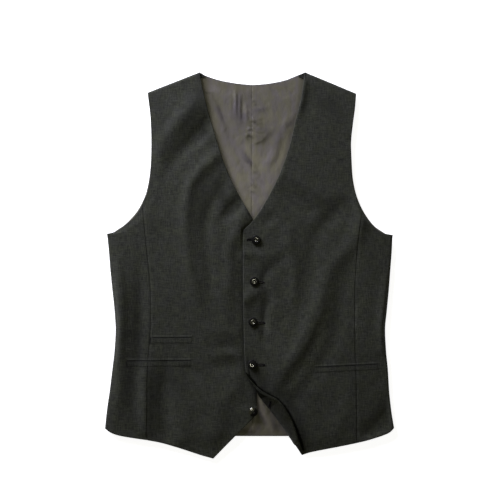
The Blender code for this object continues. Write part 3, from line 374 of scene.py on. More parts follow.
# ----------------------------------------------- creases in the lining, the same
CREASES = {
    "from the neck point": [
        (206, 90, 3.5, 0.2), (211, 98, 4, 0.9), (217, 110, 4.5, 1.1),
        (222, 124, 5, 0.7), (227, 140, 6, 0.3)],
    "beside it": [
        (212, 92, 4, 0.3), (220, 104, 5, -0.7), (226, 120, 6, -0.6),
        (232, 140, 7, -0.2)],
    "upright 1": [(235.2, 90, 2.2, 0.3), (235.8, 98, 2.4, 1.2),
                  (236, 108, 2.6, 1.3), (236.4, 118, 3, 0.8),
                  (237, 128, 4, 0.2)],
    "upright 2": [(240.4, 94, 2.2, 0.2), (240, 102, 2.2, 1.0),
                  (239.8, 112, 2.4, 1.1), (240.4, 122, 3, 0.5)],
    "upright 3": [(231, 96, 3, 0.1), (230.6, 106, 3, 0.5), (231, 118, 3.4, 0.3)],
    "upright 4": [(245.6, 104, 3, 0.3), (246, 114, 3.5, 1.1),
                  (248, 121, 4, 0.6)],
    "pucker 1": [(251, 117, 3, 0.5), (254.4, 120.6, 2.4, 1.4),
                 (260, 124, 3.4, 0.6)],
    "pucker 2": [(246, 131, 3, 0.3), (250.4, 128.2, 2.2, 1.3),
                 (255, 130, 3, 0.8), (263, 131, 4, 1.0), (272, 130.4, 5, 0.4)],
    "pucker 3": [(244, 137, 3, 0.2), (248.6, 134.4, 2.4, 1.2),
                 (256, 137, 3.5, 0.5)],
    "pucker 4": [(256, 142, 3, 0.9), (262, 139, 4, 1.0), (268, 134, 4.5, 0.5)],
    "pucker 5": [(241, 150, 4, 0.2), (245, 157, 3.2, 1.2),
                 (249, 162, 3, 1.1), (252, 168, 4, 0.3)],
    "pucker 6": [(255, 170, 3, 0.7), (258, 175, 3.6, 0.3)],
    "pucker 7": [(249.6, 180, 2.4, 0.5), (253, 184.6, 2.2, 1.3),
                 (257, 188, 3, 0.4)],
    "pucker 8": [(251.4, 190, 2.4, 0.8), (256, 193, 3.4, 0.3)],
    "pucker 9": [(256, 108, 3, 0.4), (260, 110, 3.5, 0.8), (266, 108, 4, 0.2)],
    "slack on the left": [
        (284, 124, 5, 0.4), (280, 134, 5.5, 0.9), (276.5, 148, 6, 1.1),
        (272, 158, 5.5, 1.1), (267, 167, 5, 0.4)],
    "slack beside it": [
        (270, 138, 6, -0.4), (267, 150, 7, -0.6), (262, 162, 6, -0.3)],
    "near the left edge": [
        (291, 112, 5, 0.2), (287, 122, 5.5, 0.8), (284, 136, 6, 0.4)],
    "across the yoke": [
        (216, 92, 7, 0.4), (226, 96, 8, 0.6), (246, 94, 8, 0.3)],
    "middle right": [
        (228, 146, 6, 0.3), (233, 160, 7, 0.7), (240, 176, 7, 0.5),
        (246, 192, 6, 0.4)],
    "yoke left": [
        (264, 92, 8, 0.3), (276, 98, 9, 0.7), (290, 99, 7, 0.5)],
    # the corner of lining above the hem
    "hem 1": [(258, 398, 2.5, 0.5), (264, 408, 3, 1.5), (269, 418, 4, 1.5),
              (276, 430, 5, 0.4)],
    "hem 2": [(257.6, 404, 3, -0.3), (261, 414, 3.4, -1.1),
              (266, 424, 4, -0.5)],
    "hem 3": [(256, 410, 3, 0.7), (255, 420, 4, 1.3), (252, 431, 5, 0.9)],
    "hem 4": [(240, 430, 4, 0.3), (250, 427, 5, 0.5)],
}

# ------------------------------------------------------- turned-back corner
FOLD_TOP = (246.0, 372.0)
FOLD_FOOT = (303.0, 455.0)
TURN_SLACK = 1.15
ROLL_R = 3.0
CURL = 0.36
CORNER = [
    (0.0, 0.0, 0.0, 35), (7.0, 1.6, 3.8, 74), (14.0, 2.5, 7.6, 90),
    (20.0, 2.2, 10.8, 101), (27.0, 1.0, 14.0, 116), (33.0, 1.0, 16.2, 128),
    (39.0, 1.5, 17.2, 136), (46.0, 1.9, 17.0, 141), (56.0, 2.4, 15.2, 147),
    (66.0, 2.6, 12.9, 156), (80.0, 2.6, 8.8, 160), (90.0, 1.7, 5.2, 164),
    (96.0, 0.8, 2.4, 165), (100.7, 0.0, 0.0, 165),
]
FACING_ENDS = (14.0, 88.0)     # squares along the fold that carry facing
FACING_FROM = 0.12             # share of the turned cloth where it starts

WELTS = [
    ("welt_ticket", 151.2, 337.5, 191.9, 337.4),
    ("welt_lower_right", 127.3, 360.7, 191.0, 360.4),
    ("welt_lower_left", 314.8, 367.0, 377.4, 363.9),
]
# a welt and the lip of cloth above its mouth: mm below the mouth line, mm above
# the front, and whether that strip is painted near-black as the shadow in the mouth
WELT_SECTION = [
    (-3.2, 0.06, 0), (-2.4, 0.13, 0), (-1.6, 0.20, 0), (-0.9, 0.25, 0),
    (-0.5, 0.26, 0), (-0.25, 0.22, 0), (-0.1, 0.14, 0), (-0.05, 0.05, 1),
    (0.45, 0.04, 1), (0.9, 0.05, 1), (0.95, 0.10, 0), (1.1, 0.16, 0),
    (1.6, 0.21, 0), (2.6, 0.25, 0), (4.4, 0.27, 0), (6.2, 0.27, 0),
    (7.8, 0.27, 0), (8.5, 0.25, 0), (8.85, 0.20, 0), (9.05, 0.12, 0),
    (9.12, 0.05, 0),
]
# name, button across, down, shank across, down, tilt about the length of the
# garment and across it, in degrees, and the turn of its holes
BUTTONS = [
    ("button_1", 256.0, 240.0, 254.4, 239.6, -3.5, 3.5, 20),
    ("button_2", 254.2, 281.4, 253.9, 282.3, 0.3, 1.3, -12),
    ("button_3", 252.9, 321.9, 253.4, 323.0, 1.6, 1.0, 38),
    ("button_4", 252.3, 364.5, 252.9, 364.8, 2.5, -5.0, 8),
    ("button_5", 253.0, 411.6, 252.9, 411.4, 5.0, 2.5, 52),
]
BUTTONHOLES = [
    (247.8, 259.4, 254.4, 239.6),
    (253.9, 263.0, 253.9, 282.3),
    (253.4, 264.0, 253.4, 323.0),
    (252.9, 263.8, 252.9, 364.8),
]
HOLE_5 = ((41.5, 10.5), (37.0, 22.5))

# painted highlights and painted shade of the lining's puckers and creases and beside the edges over
# it, with yellow and violet tints:
# across, down, half across, half down, turn in degrees, and how much lighter, yellower and bluer they
# are
LINING_PAINTED_LIGHT_SHADE_AND_TINT = {
    "right edge": (206, 96, 5, 26, -15, -0.10, 0.75, 0.0),
    "under the turned corner": (257.8, 393.5, 2.6, 5.5, 0, -1.0, 0.0, 0.0),
    "right edge, lower": (217, 132, 4.5, 26, -17, 0.0, 0.55, 0.0),
    "right neck corner": (204, 82, 5, 6, 0, -0.12, 0.5, 0.0),
    "brown line at the corner": (207, 92.6, 5.5, 1.2, 5, -0.30, 0.2, 0.0),
    "along the first crease": (215, 107, 2.2, 15, -28, -0.16, 0.0, 0.3),
    "pale right yoke": (216, 90, 9, 5, 10, 0.08, 0.0, 0.1),
    "pink right chest": (228, 135, 9, 22, -10, 0.02, 0.0, 0.35),
    "yellow yoke": (240, 88, 20, 4, 3, 0.0, 0.5, 0.0),
    "violet pleats": (237, 109, 3.6, 10, 0, -0.26, 0.0, 1.0),
    "violet foot": (243, 117, 6, 4.4, -15, -0.20, 0.0, 0.9),
    "grey-green pleats": (243, 97, 8, 8, 0, -0.06, 0.1, 0.25),
    "white spot 1": (248, 110, 3.4, 3.4, 0, 0.34, 0.2, 0.0),
    "white spot 2": (254.5, 134, 3.6, 5.0, 0, 0.30, 0.3, 0.0),
    "dark spot 1": (253.6, 101.2, 1.6, 1.3, 0, -0.30, 0.0, 0.2),
    "dark spot 2": (255.6, 104.6, 1.3, 1.2, 0, -0.30, 0.0, 0.2),
    "violet right of the seam": (259, 110, 5.6, 2.4, -12, -0.24, 0.0, 0.8),
    "black spot": (254.9, 121.4, 1.3, 1.3, 0, -0.80, 0.3, 0.0),
    "tail of the black spot": (260, 119.6, 4.4, 1.4, -14, -0.26, 0.5, 0.0),
    "spot below it": (250.2, 126.4, 1.7, 1.5, 20, -0.45, 0.3, 0.0),
    "brown bar": (263, 129.4, 9, 2.6, 4, -0.22, 0.1, 0.35),
    "green pool": (262, 138, 5.4, 5.6, 15, -0.26, 0.35, 0.25),
    "spot by the seam": (248.6, 134.6, 1.7, 2.2, -25, -0.50, 0.3, 0.0),
    "small spot": (248.0, 139.2, 1.6, 1.3, -10, -0.32, 0.3, 0.0),
    "pale yellow left": (268, 118, 12, 5, 0, 0.06, 0.45, 0.0),
    "left slack": (277, 140, 2.6, 14, 22, -0.20, 0.0, 0.55),
    "left slack, green": (275, 149, 2.6, 9, 16, -0.16, 0.4, 0.1),
    "left edge bar": (288, 124, 6, 3.0, -12, -0.18, 0.0, 0.5),
    "pale left edge": (294, 103, 3, 9, 5, 0.12, 0.0, 0.3),
    "tan left yoke": (280, 87.5, 12, 2.4, 8, -0.05, 0.7, 0.0),
    "yellow left": (283, 152, 4, 18, 18, 0.05, 0.6, 0.0),
    "comma": (245.4, 157.4, 2.4, 7.0, -32, -0.42, 0.0, 0.75),
    "comma's foot": (249.2, 162.0, 2.2, 2.0, 0, -0.34, 0.0, 0.7),
    "pale pleat": (247.4, 149, 2.6, 7, -20, 0.26, 0.1, 0.0),
    "left smear": (268.6, 163, 3.2, 5.0, 10, -0.18, 0.1, 0.5),
    "yellow below": (256, 158, 5, 7, 0, 0.10, 0.55, 0.0),
    "green speck": (254.6, 167, 1.4, 4.5, 24, -0.24, 0.6, 0.0),
    "grey speck": (255.4, 172.8, 2.8, 1.9, 15, -0.30, 0.1, 0.2),
    "pale streak at the hem": (262, 412, 2.2, 13, -22, 0.30, 0.3, 0.0),
    "pale streak 2": (270, 424, 2.6, 10, -30, 0.24, 0.4, 0.0),
    "pale foot": (256, 428, 5, 4, 0, 0.22, 0.0, 0.2),
    "dark streak at the hem": (265.5, 421, 1.8, 9, -26, -0.30, 0.0, 0.4),
    "dark spot at the hem": (276, 428, 3, 3.2, -30, -0.28, 0.1, 0.1),
    "dark streak 2": (258.6, 410, 1.4, 8, -8, -0.26, 0.0, 0.5),
    "pink at the cutaway": (248, 430, 5, 4, 0, 0.06, 0.0, 0.4),
    "swirl": (253.4, 184.6, 1.7, 1.8, 0, -0.42, 0.2, 0.1),
    "swirl's upper side": (253.0, 180.2, 3.2, 1.0, -30, -0.20, 0.1, 0.1),
    "swirl's tail": (261.4, 181.6, 1.6, 3.2, -30, -0.22, 0.1, 0.3),
    "swirl's foot 1": (249.2, 187.6, 1.7, 1.2, 20, -0.32, 0.3, 0.0),
    "swirl's foot 2": (254.4, 191.8, 3.4, 0.9, 0, -0.26, 0.2, 0.0),
    "swirl's foot 3": (247.6, 190.6, 3.0, 0.9, 10, -0.24, 0.2, 0.0),
    "pale swirl": (251.4, 187.2, 1.3, 4.6, 35, 0.22, 0.2, 0.0),
    "pale right of the tip": (237, 178, 5, 14, -28, 0.10, 0.3, 0.0),
    "pink tip": (262, 192, 7, 12, 25, 0.06, 0.0, 0.35),
    "yellow tip": (247, 200, 6, 9, -30, 0.04, 0.45, 0.0),
    # the corner above the hem
    "pale streak": (259.6, 403, 2.2, 11, -14, 0.36, 0.35, 0.0),
    "violet line": (261.6, 417, 1.8, 9, -24, -0.30, 0.0, 0.6),
    "grey patch": (274, 425, 4.4, 6, -35, -0.22, 0.0, 0.3),
    "pale fold": (266.6, 423, 1.8, 9, -28, 0.24, 0.4, 0.0),
    "grey wedge": (243, 430, 6, 3, 35, -0.14, 0.0, 0.25),
    "yellow hem": (268, 433, 16, 2.4, 0, 0.14, 0.45, 0.0),
    "pale by the button": (252, 427, 4, 4, 0, 0.20, 0.2, 0.0),
    "shade below the lap": (257.2, 399, 1.6, 14, -6, -0.22, 0.0, 0.4),
}


# ------------------------------------------------------------------- helpers
def smooth(t):
    t = np.clip(t, 0.0, 1.0)
    return t * t * (3.0 - 2.0 * t)


def through(rows):
    """A smooth curve through a table of (place, value), as a function."""
    rows = sorted(rows)
    t = np.array([r[0] for r in rows], float)
    p = np.array([r[1] for r in rows], float)
    step = np.diff(t)
    slope = np.diff(p) / step
    lean = np.zeros(len(t))
    lean[0], lean[-1] = slope[0], slope[-1]
    for k in range(1, len(t) - 1):
        a, b = slope[k - 1], slope[k]
        if a * b > 0:
            w1 = 2 * step[k] + step[k - 1]
            w2 = step[k] + 2 * step[k - 1]
            lean[k] = (w1 + w2) / (w1 / a + w2 / b)

    def at(x):
        x = np.clip(np.asarray(x, float), t[0], t[-1])
        k = np.clip(np.searchsorted(t, x) - 1, 0, len(t) - 2)
        s = (x - t[k]) / step[k]
        return ((1 + 2 * s) * (1 - s) ** 2 * p[k]
                + s * (1 - s) ** 2 * step[k] * lean[k]
                + s * s * (3 - 2 * s) * p[k + 1]
                + s * s * (s - 1) * step[k] * lean[k + 1])

    return at


def along(rows, shares):
    """Points on a smooth edge (across, down) at shares of its length."""
    curve = through(rows)
    fine = np.linspace(rows[0][0], rows[-1][0], 400)
    down = curve(fine)
    run = np.concatenate([[0], np.cumsum(np.hypot(np.diff(fine), np.diff(down)))])
    x = np.interp(np.asarray(shares) * run[-1], run, fine)
    return np.stack([x, curve(x)], axis=1)


def stations(rows, side):
    out = [rows[0][side]]
    for before, row in zip(rows, rows[1:]):
        for k in range(1, row[0] + 1):
            out.append(before[side] + (row[side] - before[side]) * k / row[0])
    return np.array(out)


def at_rows(values, places):
    return np.interp(places, np.arange(len(values)), values)


def edge(curve, down):
    return np.stack([curve(down), down], axis=1)


def loft(low_across, high_across, hem, head, share, bend=2.0):
    """Points of a four-edged piece, rows from hem to head."""
    a, b = np.asarray(low_across), np.asarray(high_across)
    u = np.asarray(share)[:, None]
    middle = (a + b) / 2
    run = np.concatenate([[0], np.cumsum(np.hypot(*np.diff(middle, axis=0).T))])
    v = run / run[-1]
    foot = hem - ((1 - u) * hem[0] + u * hem[-1])
    crown = head - ((1 - u) * head[0] + u * head[-1])
    return np.array([
        (1 - u) * a[k] + u * b[k]
        + (1 - v[k]) ** bend * foot + v[k] ** bend * crown
        for k in range(len(a))])


def spread(total, start, end, middle, span=1.0):
    """Places from 0 to total, close together at both ends: start and end are
    the distances of the first and last few, and middle is the step between."""
    head = [d / span for d in start]
    tail = [total - d / span for d in reversed(end)]
    count = max(int(round((tail[0] - head[-1]) / (middle / span))), 2)
    between = np.linspace(head[-1], tail[0], count + 1)[1:-1]
    return np.concatenate([head, between, tail])


def to_line(x, y, x1, y1, x2, y2):
    dx, dy = x2 - x1, y2 - y1
    t = np.clip(((x - x1) * dx + (y - y1) * dy) / (dx * dx + dy * dy), 0, 1)
    return np.hypot(x - x1 - t * dx, y - y1 - t * dy) * SQUARE, t


def eased(stops, per=6):
    """A fold's stations with smooth ones between them (Catmull-Rom)."""
    p = np.array(stops, float)
    if len(p) < 3:
        return p
    q = np.vstack([2 * p[0] - p[1], p, 2 * p[-1] - p[-2]])
    out = []
    for k in range(1, len(q) - 2):
        for t in np.linspace(0, 1, per, endpoint=False):
            out.append(0.5 * (2 * q[k] + (q[k + 1] - q[k - 1]) * t
                              + (2 * q[k - 1] - 5 * q[k] + 4 * q[k + 1] - q[k + 2]) * t * t
                              + (3 * q[k] - q[k - 1] - 3 * q[k + 1] + q[k + 2]) * t ** 3))
    out.append(p[-1])
    return np.array(out)


def soft_folds(table, x, y):
    """Height in mm that the folds of a table add."""
    total = np.zeros_like(x)
    for stops in table.values():
        line = eased(stops)
        best = np.full(x.shape, 1e9)
        half = np.ones_like(x)
        rise = np.zeros_like(x)
        for a, b in zip(line, line[1:]):
            d, t = to_line(x, y, a[0], a[1], b[0], b[1])
            near = d < best
            best = np.where(near, d, best)
            half = np.where(near, a[2] + (b[2] - a[2]) * t, half)
            rise = np.where(near, a[3] + (b[3] - a[3]) * t, rise)
        total = total + rise * np.exp(-(best / (half * SQUARE * 0.72)) ** 2)
    return total


def hash_noise(ix, iy, seed):
    h = np.sin(ix * 127.1 + iy * 311.7 + seed * 74.7) * 43758.5453
    return h - np.floor(h)


def soft_noise(x, y, size, seed):
    """Smooth uneven values from -1 to 1, with lumps of a size in squares."""
    u, v = x / size, y / size
    iu, iv = np.floor(u), np.floor(v)
    fu, fv = u - iu, v - iv
    fu, fv = fu * fu * (3 - 2 * fu), fv * fv * (3 - 2 * fv)
    a = hash_noise(iu, iv, seed) * (1 - fu) + hash_noise(iu + 1, iv, seed) * fu
    b = (hash_noise(iu, iv + 1, seed) * (1 - fu)
         + hash_noise(iu + 1, iv + 1, seed) * fu)
    return (a * (1 - fv) + b * fv) * 2 - 1


# --------------------------------------------------------- heights of surfaces
outer_right = through(SIDE_RIGHT + [(y, x) for x, y in SCYE_RIGHT[1:-1]]
                      + ARMHOLE_RIGHT)
outer_left = through(SIDE_LEFT + [(y, x) for x, y in SCYE_LEFT[1:-1]]
                     + ARMHOLE_LEFT)
side_right, side_left = through(SIDE_RIGHT), through(SIDE_LEFT)
inner_right = through(EDGE_RIGHT)
inner_left = through(LAP_LEFT + NECK_LEFT)
seam_line_right, seam_line_left = through(SEAM_RIGHT), through(SEAM_LEFT)
hem_right = through(HEM_SIDE_RIGHT + HEM_RIGHT[1:] + CUTAWAY_RIGHT[1:])
hem_left = through(HEM_LEFT + HEM_SIDE_LEFT[1:])
neck_line_right = through(BACK_NECK_RIGHT)
neck_line_left = through(BACK_NECK_LEFT)


def below_shoulder(x, y, ends):
    (x1, y1), (x2, y2) = ends
    length = math.hypot(x2 - x1, y2 - y1)
    return ((y - y1) * (x2 - x1) - (x - x1) * (y2 - y1)) / length * SQUARE


def rounded(e):
    s = np.clip(1.0 - e / SIDE_ROLL, 0.0, 1.0)
    return SIDE_DROP * (1.0 - np.sqrt(1.0 - s * s))


def seam_drop(y, off_seam, off_shoulder):
    side = rounded(off_seam) * smooth((y - 233.0) / 7.0)
    return np.maximum(side, rounded(off_shoulder))


def hem_drop(y):
    return 1.7 * smooth((y - BACK_HEM + 1.0) / 22.0)


def pocket_lips(x, y):
    """The cloth swells a little above each pocket mouth."""
    total = np.zeros_like(x)
    for name, x1, y1, x2, y2 in WELTS:
        length = math.hypot(x2 - x1, y2 - y1)
        along_it = ((x - x1) * (x2 - x1) + (y - y1) * (y2 - y1)) / length * SQUARE
        above = -((y - y1) * (x2 - x1) - (x - x1) * (y2 - y1)) / length * SQUARE
        ends = (smooth((along_it + 3) / 5) * smooth((length * SQUARE + 3 - along_it) / 5))
        total = total + 0.14 * np.exp(-((above - 2.5) / 4.5) ** 2) * ends
    return total


def side_seams(x, y):
    """Soft groove along each seam of a side panel, uneven along its length."""
    total = np.zeros_like(x)
    for line, head, sign in ((seam_line_right, 203.6, 1), (seam_line_left, 212.0, 1)):
        off = (x - line(y)) * SQUARE
        depth = 0.42 + 0.12 * soft_noise(y * 0 + 3.0, y, 6, 31)
        below = smooth((y - head + 4) / 6)
        total = total - below * depth * np.where(
            off < 0, np.clip(1 + off / 1.3, 0, 1) ** 1.5,
            np.clip(1 - off / 3.8, 0, 1) ** 1.5)
        # the seam allowance lies on one side and lifts it slightly
        total = total + below * 0.10 * np.exp(-((off - 4.6) / 2.6) ** 2)
    return total


def limited(rise):
    """Eases a rise towards its limits, so that no flat top or foot shows."""
    low = np.where(rise < 0.6, 0.6 * np.exp((np.minimum(rise, 0.6) - 0.6) / 0.6), rise)
    over = np.maximum(low - (MAX_RISE - 1.2), 0)
    return np.where(over > 0, MAX_RISE - 1.2 + 1.2 * (1 - np.exp(-over / 1.2)), low)


def wander(x, y, seed):
    """Slight unevenness of pressed cloth."""
    return (0.16 * soft_noise(x, y, 19, seed) + 0.10 * soft_noise(x, y, 9, seed + 3)
            + 0.045 * soft_noise(x, y, 4.3, seed + 5))


def top_right(x, y):
    """Upper side of the wearer's right front, in mm."""
    off_side = (x - outer_right(y)) * SQUARE
    off_hem = (hem_right(x) - y) * SQUARE
    off_shoulder = below_shoulder(x, y, (SHOULDER_RIGHT[0], SHOULDER_RIGHT[-1]))
    # the edge that shows: the neck edge, the lap and the turned corner
    shown = np.where(y < 372, np.minimum(inner_right(y), inner_left(y)),
                     np.minimum(246.0 + 0.5 * (y - 372), inner_right(y)))
    off_edge = (shown - x) * SQUARE
    neck = smooth((224 - y) / 14)
    lapped = (1 - neck) * smooth((414 - y) / 12)
    free = 1 - neck - lapped
    dip = 7 - 4.2 * smooth((250 - y) / 14)
    near = (smooth(off_side / 9) * smooth(off_hem / 10) * smooth(off_shoulder / 14)
            * (neck * (0.8 + 0.2 * smooth(off_edge / 5))
               + lapped * smooth((off_edge - 0.9) / dip) + free))
    broad = ((0.60 + 0.40 * smooth(off_side / 18))
             * (0.85 + 0.15 * smooth(off_hem / 45))
             * (0.50 + 0.50 * smooth(off_shoulder / 60))
             * (neck * (0.9 + 0.1 * smooth(off_edge / 20)) + free
                + lapped * (0.45 * smooth((off_edge - 0.9) / dip)
                            + 0.55 * smooth((off_edge - 0.9) / 50))))
    folds = (soft_folds(FOLDS_RIGHT, x, y) * (1 + 0.1 * smooth((y - 250) / 30))
             + wander(x, y, 1))
    rise = limited(DOME * broad + folds * near)
    # soft lip of the cloth beside the lapped edge
    lip = 0.62 * np.exp(-((off_edge - 3.1) / 1.5) ** 2) * lapped * (off_edge > 0)
    off_seam = (x - side_right(y)) * SQUARE
    return (FRONT_TOP + np.maximum(rise, 0) + lip + pocket_lips(x, y)
            + side_seams(x, y)
            - seam_drop(y, off_seam, off_shoulder) - hem_drop(y))


def fold_place(x, y):
    """Squares along the fold and mm inside it."""
    tx, ty = FOLD_FOOT[0] - FOLD_TOP[0], FOLD_FOOT[1] - FOLD_TOP[1]
    length = math.hypot(tx, ty)
    tx, ty = tx / length, ty / length
    rx, ry = x - FOLD_TOP[0], y - FOLD_TOP[1]
    return rx * tx + ry * ty, (rx * ty - ry * tx) * SQUARE


def top_left(x, y):
    """Upper side of the wearer's left front, in mm."""
    off_side = (outer_left(y) - x) * SQUARE
    off_edge = (x - inner_left(y)) * SQUARE
    off_hem = (hem_left(np.maximum(x, FOLD_FOOT[0])) - y) * SQUARE
    off_shoulder = below_shoulder(x, y, (SHOULDER_LEFT[0], SHOULDER_LEFT[-1]))
    place, inside = fold_place(x, y)
    lapped = smooth((y - 208) / 16)
    near = (smooth(off_side / 8) * smooth(off_hem / 10) * smooth(off_shoulder / 14)
            * (lapped + (1 - lapped) * (0.85 + 0.15 * smooth(off_edge / 5)))
            * smooth(inside / 14))
    broad = ((0.85 + 0.15 * smooth(off_side / 40))
             * (0.80 + 0.20 * smooth(off_hem / 45))
             * (0.75 + 0.25 * smooth(off_shoulder / 60)))
    inner = ((1 - lapped) * (0.75 + 0.25 * smooth(off_edge / 20))
             + lapped * smooth((off_edge - 18) / 26)) * smooth(inside / 24)
    lap = (LAP_TOP - FRONT_TOP) * smooth((279 - x) / 18) * smooth((y - 198) / 12)
    curl = (2.95 * np.exp(-(np.maximum(inside, 0) / (15 + 11 * smooth((y - 390) / 24))) ** 2)
            * smooth((y - 345) / 20) * (1 - smooth((y - 437) / 14)))
    folds = (soft_folds(FOLDS_LEFT, x, y) * (1 + 0.15 * smooth((y - 280) / 30))
             + wander(x, y, 7) * smooth((x - 250) / 20))
    base = lap + (DOME * broad - lap) * inner
    floor = np.maximum(
        (LAP_TOP - FRONT_TOP) * (1 - smooth((x - 258.5) / 9)) * smooth((y - 200) / 10),
        curl)
    rise = limited(base + folds * near)
    rise = floor + np.maximum(rise - floor, 0)
    off_seam = (side_left(y) - x) * SQUARE
    return (FRONT_TOP + rise + pocket_lips(x, y) + side_seams(x, y)
            - seam_drop(y, off_seam, off_shoulder) - hem_drop(y))


def top_lining(x, y):
    """Upper side of the back lining, creased where it shows."""
    from_right = (x - inner_right(y)) * SQUARE
    from_left = (inner_left(y) - x) * SQUARE
    neck = np.where(x < CENTRE_BACK, neck_line_right(x), neck_line_left(x))
    upper = (smooth((from_right + 2) / 9) * smooth((from_left + 2) / 9)
             * smooth(((y - neck) * SQUARE - 2) / 8) * smooth((216 - y) / 8))
    place, inside = fold_place(x, y)
    lower = (smooth((y - 392) / 8) * smooth((BACK_HEM - 2 - y) / 4)
             * smooth((x - 228) / 8) * smooth((-inside + 6) / 8))
    creased = (upper + lower) * (soft_folds(CREASES, x, y)
                                 + 0.16 + 0.14 * soft_noise(x, y, 6, 11)
                                 + 0.10 * soft_noise(x, y, 2.9, 12))
    seam = np.abs(x - CENTRE_BACK) * SQUARE
    uneven = 0.65 + 0.6 * soft_noise(x * 0, y, 3.1, 14) + 0.4 * soft_noise(x * 0, y, 1.3, 15)
    pinch = -0.24 * uneven * np.exp(-(seam / 1.6) ** 2) * (upper + lower)
    return LINING_TOP + np.clip(creased + pinch, -0.25, 1.9)


# ------------------------------------------------------------------ materials
class Nodes:
    """Short way to write a node tree."""

    def __init__(self, name):
        self.material = bpy.data.materials.new(name)
        self.material.use_nodes = True
        self.tree = self.material.node_tree
        self.shader = self.tree.nodes["Principled BSDF"]

    def add(self, kind, **sockets):
        node = self.tree.nodes.new(kind)
        return node

    def link(self, a, b):
        self.tree.links.new(a, b)

    def socket(self, value, to):
        if isinstance(value, bpy.types.NodeSocket):
            self.link(value, to)
        else:
            to.default_value = value

    def math(self, op, a, b=0.0, clamp=False):
        node = self.tree.nodes.new("ShaderNodeMath")
        node.operation = op
        node.use_clamp = clamp
        self.socket(a, node.inputs[0])
        self.socket(b, node.inputs[1])
        return node.outputs[0]

    def noise(self, vector, scale, detail=2.0, rough=0.5, dims="2D"):
        node = self.tree.nodes.new("ShaderNodeTexNoise")
        node.noise_dimensions = dims
        node.inputs["Scale"].default_value = scale
        node.inputs["Detail"].default_value = detail
        node.inputs["Roughness"].default_value = rough
        self.link(vector, node.inputs["Vector"])
        return node.outputs["Fac"]

    def stretch(self, vector, x, y, z=1.0):
        node = self.tree.nodes.new("ShaderNodeVectorMath")
        node.operation = "MULTIPLY"
        self.link(vector, node.inputs[0])
        node.inputs[1].default_value = (x, y, z)
        return node.outputs[0]

    def mix(self, share, a, b):
        node = self.tree.nodes.new("ShaderNodeMix")
        node.data_type = "RGBA"
        self.socket(share, node.inputs["Factor"])
        self.socket(a if isinstance(a, bpy.types.NodeSocket) else (*a, 1.0),
                    node.inputs[6])
        self.socket(b if isinstance(b, bpy.types.NodeSocket) else (*b, 1.0),
                    node.inputs[7])
        return node.outputs[2]

    def scaled(self, colour, amount):
        node = self.tree.nodes.new("ShaderNodeVectorMath")
        node.operation = "SCALE"
        self.link(colour, node.inputs[0])
        self.socket(amount, node.inputs[3])
        return node.outputs[0]

    def range(self, value, low, high, to_low, to_high):
        node = self.tree.nodes.new("ShaderNodeMapRange")
        node.clamp = True
        self.link(value, node.inputs[0])
        for k, v in enumerate((low, high, to_low, to_high), 1):
            node.inputs[k].default_value = v
        return node.outputs[0]

    def bump(self, height, strength, distance, normal=None):
        node = self.tree.nodes.new("ShaderNodeBump")
        node.inputs["Strength"].default_value = strength
        node.inputs["Distance"].default_value = distance
        self.link(height, node.inputs["Height"])
        if normal is not None:
            self.link(normal, node.inputs["Normal"])
        return node.outputs[0]

    def uv_mm(self):
        node = self.tree.nodes.new("ShaderNodeUVMap")
        node.uv_map = "pattern"
        return self.stretch(node.outputs[0], 1000.0, 1000.0, 1.0)

    def object_mm(self):
        node = self.tree.nodes.new("ShaderNodeTexCoord")
        return self.stretch(node.outputs["Object"], 1000.0, 1000.0, 1000.0)

    def set(self, **values):
        for key, value in values.items():
            self.shader.inputs[key.replace("_", " ")].default_value = value


